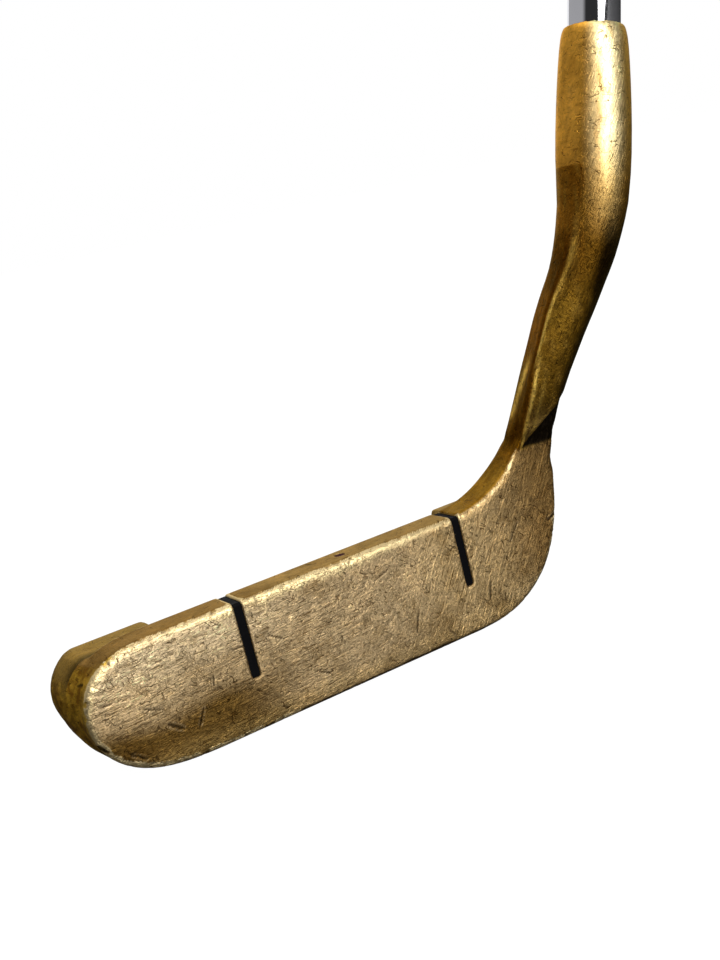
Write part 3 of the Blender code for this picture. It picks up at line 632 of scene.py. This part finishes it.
def face_rim(co):
    """Distance of each point from the outline of the face, in mm; off the face it is 99."""
    x, y, z = (co / MM).T
    off = y - face_y(z)
    clear = np.minimum(np.abs(x - LINE_XS[0]), np.abs(x - LINE_XS[1])) > 1.5
    outline = (off > 0.12) & (off < 0.55) & clear & (z < 30.6)
    plane = (np.abs(off) < ON_FACE) & (z < 34.0)
    found = search_tree(co[outline][::2])
    distance = np.full(len(co), 99.0)
    for k in np.nonzero(plane)[0]:
        distance[k] = found.find(co[k])[2] / MM
    return distance


def wear_down(co):
    """Play wear: the face edge is rubbed round and dented, the face has small dents and gouges."""
    x, y, z = (co / MM).T
    rim = face_rim(co)
    band = np.clip(1.0 - rim / (1.7 + 0.9 * field(co, 260.0, 0)), 0.0, 1.0)
    y = y + 0.22 * band * band * (0.35 + 0.65 * ramp(6.0, 14.0, z))
    co = co.copy()
    co[:, 1] = y * MM
    draw = np.random.default_rng(DENT_SEED)
    edge_points = np.nonzero((rim < 0.7) & (z > 0.5))[0]
    dents = [(co[k], draw.uniform(0.35, 0.9), draw.uniform(0.06, 0.20))
             for k in draw.choice(edge_points, EDGE_DENTS, replace=False)]
    inner = np.nonzero((rim > 2.0) & (rim < 90.0) & (z < 24.0))[0]
    dents += [(co[k], draw.uniform(0.3, 0.8), draw.uniform(0.03, 0.10))
              for k in draw.choice(inner, FACE_DENTS, replace=False)]
    around = search_tree(co)
    for centre, radius, depth in dents:
        for _, k, distance in around.find_range(centre, radius * MM):
            share = 1.0 - (distance / (radius * MM)) ** 2
            co[k, 1] += depth * share * share * MM
    plane = np.abs(y - face_y(z)) < ON_FACE
    for *ends, half, depth in GOUGES:
        cut = groove(x, z, ends, half)
        raised = groove(x, z, ends, half * 2.2) * (cut <= 0.0)
        co[:, 1] += (cut - 0.25 * raised) * depth * plane * MM
    return co, rim


def worn_edges(x, z, rim, proud, face, shown):
    """Share of bright rubbed brass: edges that stand proud, and a band along the outline of the face."""
    on_bend = ramp(19.0, 24.0, x) * ramp(22.6, 23.4, z)
    root = (x > 40.5) * (x < 47.0) * (z > 30.5) * (z < 40.0)
    from_line = np.minimum(np.abs(x - LINE_XS[0]), np.abs(x - LINE_XS[1]))
    rubbed = ramp(0.05, 0.17, proud) * shown * (1.0 - 0.8 * (z > 36.0)) * (1.0 - root)
    rubbed = rubbed * (1.0 - 0.5 * ramp(3.5, 1.5, z)) * (1.0 - 0.6 * on_bend)
    rubbed = rubbed * (1.0 - 0.7 * ramp(1.6, 1.1, from_line) * ramp(23.0, 21.5, z))

    width = 3.2 - 1.5 * ramp(20.0, 26.0, x) - 0.9 * ramp(-24.0, -34.0, x)
    band = np.clip(1.0 - rim / width, 0.0, 1.0) * face * (1.0 - 0.8 * ramp(40.0, 43.0, x))
    low = 0.25 + 0.15 * ramp(-8.0, -22.0, x)
    band = band * (low + (1.0 - low) * ramp(7.0, 15.0, z))
    bend_line = 0.60 * face * ramp(1.1, 0.4, rim) * ramp(42.0, 40.0, x)
    band = band * (1.0 - on_bend) + on_bend * bend_line
    toe_lip = ramp(1.3, 0.4, rim) * face * ramp(-8.0, -20.0, x) * ramp(9.0, 6.0, z)
    band = np.maximum(band * (1.0 - 0.2 * ramp(-24.0, -34.0, x)), 0.72 * toe_lip)
    band = band * (1.0 - 0.65 * ramp(0.0, 30.0, x) * ramp(24.0, 22.0, z))
    return np.clip(np.maximum(rubbed, band), 0.0, 1.0)


def paint_head(mesh, pairs, rim):
    """Colour, wear, grime, milling and polish for each point of the head, for brass_material."""
    co = points_of(mesh)
    normal = np.array([v.normal for v in mesh.vertices])
    x, y, z = (co / MM).T
    nx, ny, nz = normal.T
    q, _, turn = shaft_frame(co)
    # how far each point stands proud of its surroundings, in mm
    wide = relax(co, pairs, 22, 0.6)
    proud = ((co - wide) * normal).sum(1) / MM
    wobble = field(co, 260.0, 1)
    patch = field(co, 90.0, 2)
    large = field(co, 35.0, 3)

    # where on the head each point is
    head = z < 30.0
    depth = y - face_y(z)
    face = ramp(0.62, 0.30, depth) * ramp(0.1, 0.5, -ny) * ramp(31.3, 30.3, z)
    top = ramp(0.75, 0.95, nz) * (y < BLADE_BACK + 0.3) * head
    behind = (y > BLADE_BACK + 0.1) * (z < 24.0)
    sole = ramp(-0.6, -0.9, nz) * (z < 6.0)
    toe_side = ramp(-40.0, -47.0, x) * (1.0 - face) * head
    neck = ramp(27.0, 31.0, z) * (1.0 - face)

    def streak(stretch, seed):
        """Noise from 0 to 1, finer where the stretch is larger."""
        return 0.5 + 0.5 * field(co * np.array(stretch), 320.0, seed)

    def coat(share, colour):
        """Cover the tone with a colour where share is 1."""
        nonlocal tone
        tone = tone * (1.0 - share[:, None]) + np.array(colour) * share[:, None]

    # blade: back, sole, toe end, topline, crescent and pocket behind, then the face
    tone = np.tile((0.50, 0.33, 0.12), (len(co), 1))
    coat(behind * 0.8, (0.32, 0.21, 0.07))
    coat(sole * 0.8, (0.44, 0.31, 0.13))
    mottle = 0.6 * streak((2.6, 2.6, 2.6), 6) + 0.4 * streak((0.9, 0.9, 0.9), 9)
    coat(toe_side * 0.95, (0.24, 0.105, 0.006))
    coat(toe_side * ramp(0.38, 0.70, mottle) * 0.75, (0.74, 0.45, 0.05))
    coat(toe_side * ramp(2.6, 0.6, depth) * ramp(6.0, 12.0, z) * 0.6, (0.85, 0.58, 0.12))
    coat(toe_side * ramp(9.0, 3.0, z) * 0.6, (0.10, 0.05, 0.006))
    coat(top, (0.40, 0.25, 0.082))
    coat(top * ramp(-12.0, -30.0, x) * 0.8, (0.29, 0.155, 0.040))
    coat(top * ramp(0.35, 0.75, streak((0.5, 2.0, 1.0), 7)) * 0.5, (0.33, 0.19, 0.06))
    crescent = behind * ramp(-20.0, -34.0, x) * ramp(15.0, 20.0, z)
    coat(crescent * 0.9, (0.32, 0.20, 0.050))
    # painted shadow: the crescent top is darkened next to the step down from the blade's back
    coat(crescent * ramp(3.2, 0.4, y - BLADE_BACK) * 0.85, (0.05, 0.028, 0.008))
    pocket = behind * (x > -36.0) * (x < 30.0) * (z < 20.0) * ramp(0.2, 0.6, np.maximum(ny, nz))
    coat(pocket * 0.8, (0.22, 0.150, 0.055))
    coat(face, (0.67, 0.49, 0.265))
    coat(face * ramp(13.0, 20.0, z) * ramp(-5.0, -30.0, x) * 0.7, (0.95, 0.74, 0.45))
    low_toe = ramp(13.5, 7.5, z + 2.0 * patch) * ramp(-10.0, -30.0, x + 4.0 * large)
    coat(face * low_toe * 0.92, (0.175, 0.090, 0.009))
    coat(face * ramp(5.5, 1.0, z) * 0.45, (0.62, 0.42, 0.15))
    coat(face * ramp(4.0, 24.0, x) * 0.5, (0.70, 0.49, 0.215))
    coat(face * ramp(22.0, 44.0, x) * ramp(2.0, 9.0, z) * 0.85, (0.225, 0.120, 0.027))
    bend = (x > 22.0) * (z > 23.0) * ramp(33.0, 29.0, z) * ramp(0.15, 0.4, nz) * (1.0 - face)
    coat(bend * 0.95, (0.31, 0.16, 0.014))
    coat(bend * ramp(0.45, 0.75, streak((0.8, 2.6, 0.8), 8)) * 0.5, (0.20, 0.085, 0.005))

    # neck: dark reddish toe flat, olive front flat, golden ridge between them that is partly a painted
    # highlight, and painted shade that turns the heel flank black
    across = x - np.interp(z, RIDGE_Z, RIDGE_X)
    flow = streak((3.0, 3.0, 0.35), 4)
    ripple = streak((2.0, 2.0, 0.8), 5)
    low_neck = neck * (1.0 - ramp(66.0, 86.0, q))
    facing = np.degrees(np.arctan2(-ny, -nx))       # 0 looks to the toe, 90 to the front
    # the flats are told apart by place low on the neck, and by where they look higher up
    high = ramp(44.0, 49.0, z)
    low = 1.0 - high
    flat = low * ramp(0.3, -0.4, across) + high * ramp(32.0, 18.0, facing)
    front = low * ramp(-0.3, 0.5, across) + high * ramp(20.0, 36.0, facing)
    outer = low * 0.4 * ramp(-1.1, -1.9, across) + high * ramp(-6.0, -16.0, facing)
    crest = low * np.exp(-((across - 0.1) / 0.30) ** 2) + high * np.exp(-((facing - 30.0) / 9.0) ** 2)
    coat(neck, (0.33, 0.17, 0.022))
    coat(low_neck * front, (0.205, 0.110, 0.012))
    coat(low_neck * front * ramp(0.5, 0.8, ripple) * 0.6, (0.37, 0.215, 0.035))
    coat(low_neck * ramp(40.0, 34.0, z) * (across > 0.0) * 0.5, (0.50, 0.33, 0.10))
    coat(low_neck * flat, (0.155, 0.060, 0.003))
    coat(low_neck * flat * ramp(0.45, 0.75, flow) * 0.30, (0.39, 0.185, 0.012))
    coat(low_neck * outer * (0.20 + 0.60 * flow), (0.37, 0.165, 0.008))
    coat(neck * ramp(56.0, 64.0, q) * ramp(80.0, 72.0, q) * 0.35, (0.12, 0.06, 0.01))
    # the golden ridge line is a worn edge together with a painted highlight along it
    ridge = crest * low_neck * (ny < 0.3) * ramp(0.05, 0.45, ripple + 0.2)
    coat(ridge * 0.95, (1.0, 0.66, 0.14))
    second = np.exp(-((across - 1.7) / 0.3) ** 2) * low_neck * (ny < 0.3) * ramp(46.0, 38.0, z)
    coat(second * 0.5, (0.62, 0.40, 0.08))
    # painted shade: the heel flank of the neck is coloured near black where it turns away from the light
    border = 47.9 + 0.5 * (z - 37.8) - 1.6 * ramp(54.0, 64.0, z)
    shaded_flank = ramp(-1.2, 1.3, x - border + 0.5 * wobble) * ramp(84.0, 66.0, z)
    coat(neck * shaded_flank * 0.97 * (1.0 - ramp(68.0, 82.0, q)), (0.030, 0.018, 0.005))

    # barrel: a painted highlight makes it pale in front, where the front light is reflected; golden at
    # the toe side, browner to the heel
    barrel = ramp(66.0, 86.0, q) * neck

    def from_turn(middle):
        """Degrees round the shaft between each point and a turn."""
        return np.abs((turn - middle + 540.0) % 360.0 - 180.0)

    from_toe = from_turn(-175.0)
    from_front = from_turn(-108.0)
    coat(barrel, (0.80, 0.49, 0.10))
    coat(barrel * ramp(60.0, 30.0, from_toe + 5.0 * wobble), (0.76, 0.38, 0.05))
    # painted highlight: a pale tone at the turn where the front light shows on the barrel
    coat(barrel * ramp(44.0, 12.0, from_front + 4.0 * patch), (0.95, 0.78, 0.42))
    coat(barrel * ramp(0.55, 0.8, flow) * 0.35, (0.45, 0.24, 0.05))
    seam = np.exp(-((from_toe - 50.0 - 4.0 * patch) / 8.0) ** 2) * ramp(104.0, 96.0, q)
    coat(barrel * seam * (0.35 + 0.4 * flow), (0.36, 0.17, 0.02))
    # a tarnished patch on the toe side of the barrel: sharp upper edge, fading into streaks below
    edge_q = 81.2 + 0.35 * wobble
    side = ramp(36.0, 30.0, from_turn(-178.0) + 5.0 * wobble)
    stain = side * ramp(edge_q + 0.2, edge_q - 0.2, q) * ramp(58.0, 76.0, q) * neck
    coat(stain * (0.70 + 0.30 * (1.0 - flow)), (0.235, 0.088, 0.004))
    coat(stain * ramp(0.55, 0.8, flow) * 0.6, (0.40, 0.22, 0.03))
    # the scoop under the neck is painted black: old tarnish in the hollow, with painted shade under the
    # overhang
    scoop = ramp(SCOOP_FOOT - 0.1, SCOOP_FOOT + 0.6, z + 0.25 * wobble) * (z < scoop_edge_z(x) + 0.05)
    scoop = scoop * (x > 40.8) * (np.abs(depth) < 3.2) * (z < 38.0)
    coat(scoop, (0.016, 0.011, 0.007))
    # painted shadow: the rounding under the face is coloured near black where shade falls
    low_z = z - 0.35 * wobble
    under = ramp(1.4, 0.7, low_z) * (ny < -0.15) * (nz < -0.2) + face * ramp(0.9, 0.3, low_z)
    under = np.clip(under, 0.0, 1.0)
    coat(under * 0.9, (0.03, 0.018, 0.008))

    # slow change of shade over the whole head; browner at the bend and redder on the toe flat
    tone *= (1.0 + 0.12 * patch + 0.10 * large)[:, None]
    brown = neck * ramp(54.0, 62.0, q) * ramp(90.0, 76.0, q) * (1.0 - 0.8 * stain)
    tone *= 1.0 - brown[:, None] * np.array((0.30, 0.37, 0.50))
    ruddy = low_neck * flat * (1.0 - crest) * ramp(37.0, 46.0, z) * (1.0 - 0.9 * stain)
    tone *= 1.0 - ruddy[:, None] * np.array((0.30, 0.42, 0.62))

    # gouges: dirty inside, with a bright raised rim
    gouged = np.zeros(len(co))
    plane = np.abs(depth) < ON_FACE
    for *ends, half, _ in GOUGES:
        gouged = np.maximum(gouged, groove(x, z, ends, half * 1.15) * plane)
        bright = groove(x, z, ends, half * 2.4) * (groove(x, z, ends, half * 1.3) <= 0.0)
        coat(bright * plane * 0.7, (0.85, 0.68, 0.42))
    toe_slit = groove(y, z, (-6.6, 19.0, -4.6, 18.6), 0.34) * (x < -45.0)
    gouged = np.maximum(gouged, toe_slit)
    grime = ramp(0.05, 0.18, -proud) * (0.75 + 0.25 * wobble) * (z > 0.3)
    grime = np.clip(grime, 0.0, 1.0) * (1.0 - 0.5 * face)
    shown = (1.0 - 0.6 * behind) * (1.0 - 0.6 * sole) * (1.0 - scoop) * (1.0 - under)

    store(mesh, "tone", np.clip(tone, 0.0, 1.0))
    store(mesh, "wear", worn_edges(x, z, rim, proud + 0.03 * wobble, face, shown))
    store(mesh, "grime", np.maximum(grime, ramp(0.15, 0.6, gouged)))
    store(mesh, "milled", np.clip(face + 0.25 * sole + 0.85 * neck, 0.0, 1.0))
    store(mesh, "polish", np.clip(barrel * (1.0 - 0.7 * stain), 0.0, 1.0))


BRASS = brass_material()
head_mesh, head_pairs, head_rim = dense_head()
paint_head(head_mesh, head_pairs, head_rim)
for poly in head_mesh.polygons:
    poly.use_smooth = True
head = new_piece("worn_head", head_mesh, BRASS, "head")

# ---------------- looks of the other CAD nodes
NODE_LOOKS = {
    "toe_sight_line_paint": enamel_material(
        "black_enamel", (0.0015, 0.0015, 0.002), (0.006, 0.005, 0.004)),
    "sweet_spot_paint": enamel_material("red_enamel", (0.050, 0.010, 0.008), (0.015, 0.008, 0.006)),
    "hosel_adhesive": plain_material(
        "old_epoxy", (0.22, 0.15, 0.06), (0.34, 0.26, 0.12), (1.1, 1.1, 1.1), 0.35),
    "tip_plug": plain_material("cork", (0.24, 0.13, 0.06), (0.46, 0.30, 0.17), (1.2, 1.2, 1.2), 0.85),
    "grip_tape": plain_material(
        "paper_tape", (0.55, 0.49, 0.38), (0.68, 0.62, 0.50), (0.8, 0.8, 0.8), 0.8),
    "grip_core": rubber_material("core_rubber", (0.018, 0.018, 0.018)),
    "finishing_band": plain_material(
        "gloss_tape", (0.010, 0.010, 0.011), (0.022, 0.021, 0.020), (1.4, 1.4, 1.4), 0.3),
    "grip_collar": rubber_material("collar_rubber", (0.014, 0.014, 0.014)),
    "butt_cap": rubber_material("cap_rubber", (0.013, 0.013, 0.013)),
    "butt_plug": plain_material(
        "ash_wood", (0.36, 0.22, 0.11), (0.55, 0.38, 0.20), (0.7, 0.7, 8.0), 0.7),
    "cap_screw": plain_material(
        "turned_brass", (0.62, 0.44, 0.18), (0.85, 0.65, 0.30), (0.6, 0.6, 2.0), 0.3, 1.0),
}
NODE_LOOKS["heel_sight_line_paint"] = NODE_LOOKS["toe_sight_line_paint"]
for label, look in NODE_LOOKS.items():
    node_mesh = NODES[label].data
    node_mesh.materials.clear()
    node_mesh.materials.append(look)

# ---------------- shaft
CHROME = chrome_material()
TUBE_WALL = 0.9          # wall of the steel tube, mm
BORE_LOW, BORE_TOP = 220.0, 280.0    # even bore at the tip and at the butt, mm


def shaft_piece():
    """The stepped tube with true circles; each step is a short polished cone with soft ends."""
    outer = outline_of("shaft")
    profile = outer[:1]
    for k, (r, h) in enumerate(outer[1:], 1):
        r0, h0 = outer[k - 1]
        if abs(r0 - r) > 0.1 and h - h0 < 3.0 and k < len(outer) - 2:
            for t in (0.15, 0.4, 0.6, 0.85):
                profile.append((r0 + (r - r0) * ramp(0.0, 1.0, t), h0 + (h - h0) * t))
        profile.append((r, h))
    (low_r, low_h), (top_r, top_h) = outer[0], outer[-1]
    low_r, top_r = low_r - TUBE_WALL, top_r - TUBE_WALL
    profile += [(top_r, top_h), (top_r, top_h - BORE_TOP), (low_r, low_h + BORE_LOW), (low_r, low_h)]
    mesh = turned_mesh("chromed_shaft", profile, 128, 50.0)
    piece = new_piece("chromed_shaft", mesh, CHROME, "shaft")


shaft_piece()

# ---------------- grip and butt end
LEATHER = leather_material()
GRIP_LOW, GRIP_HIGH, _ = span("grip_core")
GRIP_R, GRIP_SWELL = 8.9, 2.3        # core radius at the low end, and its growth to the butt, mm
FLAT_R, FLAT_SWELL = 8.5, 0.9        # the same for the flat front, mm
BLEND = 14.0             # how sharply round and flat meet; higher is sharper
STRIP_T = 1.75           # thickness of the leather strip, mm
ROUND = 144              # points in one turn of these pieces


def grip_radius(q, turn, lift):
    """Outline of the grip core plus a lift: it swells towards the butt and is flat in front."""
    share = min(1.0, max(0.0, (q - GRIP_LOW) / (GRIP_HIGH - GRIP_LOW)))
    r = GRIP_R + GRIP_SWELL * share ** 0.8 + lift
    front = math.cos(math.radians(turn + 90.0))
    if front > 1e-3:
        flat = (FLAT_R + FLAT_SWELL * share + lift) / front
        r = (r ** -BLEND + flat ** -BLEND) ** (-1.0 / BLEND)
    return r


def ring_faces(rows, closed):
    """Quads between neighbouring rows of point numbers; closed joins the last row to the first."""
    faces = []
    for a, b in zip(rows, rows[1:] + (rows[:1] if closed else [])):
        for i in range(len(a)):
            n = (i + 1) % len(a)
            faces.append((a[i], a[n], b[n], b[i]))
    return faces


def leather_piece():
    """One strip wound up the core, its edges skived and pressed down, slightly proud between them."""
    low, high, _ = span("leather_wrap")
    pitch = 24.0
    gap = 0.3
    # across the strip: share of its width, and lift above its thickness in mm
    section = ((0.0, -1.35), (0.015, -0.8), (0.03, -0.45), (0.06, -0.24), (0.11, -0.10),
               (0.18, -0.03), (0.34, 0.02), (0.5, 0.03), (0.66, 0.02), (0.82, -0.03),
               (0.89, -0.10), (0.94, -0.24), (0.97, -0.45), (0.985, -0.8), (1.0, -1.35))
    rows = []
    verts = []
    rim = []
    for s in range(int(((high - low) / pitch + 1.0) * ROUND)):
        wind = s / ROUND
        q_top = low + pitch * wind + 1.2
        q_bot = max(q_top - pitch + gap, low)
        q_top = min(q_top, high)
        if q_top - q_bot < 1.4:          # too narrow to show, at either end of the winding
            if rows:
                break
            continue
        turn = 250.0 + 360.0 * wind
        row = []
        for share, lift in section:
            q = q_bot + (q_top - q_bot) * share
            wave = 0.05 * noise.noise(Vector(on_shaft(12.0, q, turn)) * 90.0)
            row.append(len(verts))
            verts.append(on_shaft(grip_radius(q, turn, STRIP_T + lift + wave), q, turn))
            rim.append(1.0 if lift < -0.09 else 0.0)
        rows.append(row)
    faces = [tuple(reversed(rows[0])), tuple(rows[-1])] + ring_faces(rows, False)
    mesh = smooth_mesh("leather_strip", verts, faces, 60.0)
    store(mesh, "rim", np.array(rim))
    piece = new_piece("leather_strip", mesh, LEATHER, "leather_wrap")


def band_piece():
    """Finishing tape: two laps round the foot of the leather, the second a little short of the first."""
    low, high, _ = span("finishing_band")
    under, over = STRIP_T + 0.12, STRIP_T + 0.47
    section = ((under, low), (over - 0.16, low), (over - 0.10, low + 0.06), (over - 0.10, low + 2.0),
               (over, low + 2.1), (over, high - 0.12), (over - 0.06, high), (under, high))
    verts = []
    rows = []
    for k in range(ROUND):
        turn = 360.0 / ROUND * k
        rows.append(list(range(len(verts), len(verts) + len(section))))
        verts += [on_shaft(grip_radius(q, turn, lift), q, turn) for lift, q in section]
    mesh = smooth_mesh("finishing_tape_ring", verts, ring_faces(rows, True), 30.0)
    piece = new_piece("finishing_tape_ring", mesh, NODE_LOOKS["finishing_band"], "finishing_band")


def rounded(profile, radius):
    """The closed profile with every corner off the axis replaced by a short curve."""
    out = []
    count = len(profile)
    for k, here in enumerate(profile):
        before, after = profile[k - 1], profile[(k + 1) % count]
        if here[0] < 1e-6:
            out.append(here)
            continue
        legs = []
        for other in (before, after):
            away = (other[0] - here[0], other[1] - here[1])
            length = math.hypot(*away)
            cut = min(radius, 0.42 * length)
            legs.append((here[0] + away[0] / length * cut, here[1] + away[1] / length * cut))
        for t in (0.0, 0.25, 0.5, 0.75, 1.0):
            out.append(tuple(a * (1 - t) ** 2 + 2 * b * t * (1 - t) + c * t * t
                             for a, b, c in zip(legs[0], here, legs[1])))
    return out


def cap_piece():
    """Moulded butt cap: domed rim, a shallow groove round its side, a counterbored seat for the screw."""
    low, high, r = span("butt_cap")
    seat = low + 3.15
    profile = ((2.1, seat), (2.1, low + 1.05), (7.9, low + 1.05), (7.9, low), (r - 0.5, low),
               (r, low + 0.55), (r, low + 1.9), (r - 0.3, low + 2.1), (r - 0.3, low + 2.6),
               (r, low + 2.8), (r, low + 4.35), (r - 0.8, low + 6.15), (r - 2.6, high - 0.2),
               (r - 4.5, high), (5.2, high), (4.9, high - 0.3), (4.9, seat))
    mesh = turned_mesh("domed_cap", rounded(profile, 0.45), ROUND, 60.0)
    piece = new_piece("domed_cap", mesh, NODE_LOOKS["butt_cap"], "butt_cap")


def collar_piece():
    """Rubber ferrule below the leather, with a rounded lip."""
    low, high, r = span("grip_collar")
    inner = 7.55
    profile = ((inner, low), (inner + 0.6, low), (r - 1.6, low + 1.4), (r - 0.5, low + 9.0),
               (r, low + 13.4), (r - 0.1, low + 14.4), (r - 0.6, high), (inner, high))
    mesh = turned_mesh("collar_ring", rounded(profile, 1.2), ROUND, 60.0)
    piece = new_piece("collar_ring", mesh, NODE_LOOKS["grip_collar"], "grip_collar")


def screw_piece():
    """Turned brass screw with a domed head and a straight driver slot."""
    low, high, r = span("cap_screw")
    head = high - 3.4
    profile = ((0.0, low), (0.4, low + 0.6), (1.4, low + 3.0), (1.5, low + 14.0), (1.5, head),
               (4.3, head), (r, head + 0.5), (4.5, head + 1.7), (3.8, head + 2.6),
               (2.2, head + 3.2), (0.0, high))
    mesh = turned_mesh("slotted_screw", rounded(profile, 0.5), 96, 40.0)
    blank = new_object("blank", mesh)
    corners = [(u, v, w) for u in (-6.0, 6.0) for v in (-0.45, 0.45)
               for w in (high - 1.0, high + 2.0)]
    box = [FOOT + (AXIS * w + HEELWARD * u + BACK * v) * MM for u, v, w in corners]
    sides = [(0, 1, 3, 2), (4, 6, 7, 5), (0, 4, 5, 1), (2, 3, 7, 6), (0, 2, 6, 4), (1, 5, 7, 3)]
    cutter = new_object("cutter", smooth_mesh("cutter", box, sides))
    cut = blank.modifiers.new("slot", "BOOLEAN")
    cut.operation = "DIFFERENCE"
    cut.solver = "EXACT"
    cut.object = cutter
    slotted = evaluated_mesh(blank)
    for obj in (blank, cutter):
        bpy.data.objects.remove(obj, do_unlink=True)
    slotted.set_sharp_from_angle(angle=math.radians(35.0))
    piece = new_piece("slotted_screw", slotted, NODE_LOOKS["cap_screw"], "cap_screw")


leather_piece()
band_piece()
cap_piece()
collar_piece()
screw_piece()

# ---------------- studio
scene = bpy.context.scene
scene.view_settings.view_transform = "Standard"
scene.view_settings.look = "None"

REACH = 40.0             # half the side of the floor, m
FLOOR_DROP = 0.0002      # keeps the floor just below the sole, m
CORNERS = [(-REACH, -REACH, 0.0), (REACH, -REACH, 0.0), (REACH, REACH, 0.0), (-REACH, REACH, 0.0)]
floor_mesh = bpy.data.meshes.new("floor")
floor_mesh.from_pydata(CORNERS, [], [(0, 1, 2, 3)])
floor = new_object("floor", floor_mesh)
floor.location.z = -FLOOR_DROP
floor_look = Graph("pale_floor")
floor_look.finish(Base_Color=(0.10, 0.10, 0.10, 1.0), Roughness=0.9, Specular_IOR_Level=0.0)
seen = floor_look.add("ShaderNodeLightPath").outputs["Is Camera Ray"]
glow = floor_look.add("ShaderNodeEmission", {"Color": (0.985, 0.985, 0.985, 1.0), "Strength": seen})
both = floor_look.add("ShaderNodeAddShader", {0: floor_look.bsdf.outputs[0], 1: glow.outputs[0]})
floor_look.put(floor_look.tree.nodes["Material Output"].inputs["Surface"], both.outputs[0])
floor_mesh.materials.append(floor_look.mat)

# the room: white behind the putter for the camera; the metal sees grey walls and a dark front
world = scene.world or bpy.data.worlds.new("studio")
scene.world = world
world.use_nodes = True
world.node_tree.nodes.clear()
room = Nodes(world.node_tree)
seen = room.add("ShaderNodeLightPath").outputs["Is Camera Ray"]
way = room.add("ShaderNodeTexCoord").outputs["Generated"]
towards_back = room.add("ShaderNodeSeparateXYZ", {0: way}).outputs["Y"]
walls = room.add("ShaderNodeBackground", {
    "Color": (1.0, 1.0, 1.02, 1.0), "Strength": room.span(towards_back, -0.30, 0.05, 0.030, 0.40)})
white = room.add("ShaderNodeBackground", {"Color": (1.0, 1.0, 1.0, 1.0), "Strength": 1.0})
shown = room.add("ShaderNodeMixShader", {0: seen, 1: walls.outputs[0], 2: white.outputs[0]})
room.add("ShaderNodeOutputWorld", {"Surface": shown.outputs[0]})


def softbox(name, at, aim, width, height, radiance):
    """Rectangular soft light of the given brightness, at one point and looking at another."""
    data = bpy.data.lights.new(name, "AREA")
    data.shape = "RECTANGLE"
    data.size = width
    data.size_y = height
    data.energy = radiance * math.pi * width * height
    lamp = new_object(name, data)
    lamp.location = at
    lamp.rotation_euler = (Vector(aim) - Vector(at)).to_track_quat("-Z", "Y").to_euler()


softbox("front_box", (0.06, -0.95, 0.45), (0.04, 0.0, 0.10), 0.88, 0.85, 4.5)
softbox("over_box", (0.0, -0.1, 1.35), (0.0, 0.0, 0.0), 1.6, 1.6, 1.0)
softbox("back_box", (0.5, 1.3, 0.55), (0.0, 0.0, 0.05), 1.2, 0.9, 0.6)

# ---------------- camera at the photograph's angle
camera_data = bpy.data.cameras.new("camera")
camera = new_object("camera", camera_data)
camera_data.sensor_fit = "VERTICAL"
camera_data.sensor_height = 36.0
camera_data.lens = 47.34
camera_data.clip_start = 0.01
camera_data.clip_end = 100.0
CAMERA_AT = Vector((-0.098889, -0.199639, 0.084664))
YAW, PITCH, ROLL = (math.radians(a) for a in (-28.64, -12.63, 13.06))
aim = Matrix.Rotation(YAW, 3, "Z") @ Matrix.Rotation(PITCH, 3, "X") @ Matrix.Rotation(ROLL, 3, "Y")
right, ahead, up = aim.col
turned = Matrix((right, up, -ahead)).transposed().to_4x4()
camera.matrix_world = Matrix.Translation(CAMERA_AT) @ turned
scene.camera = camera

# ---------------- close
bpy.context.view_layer.update()
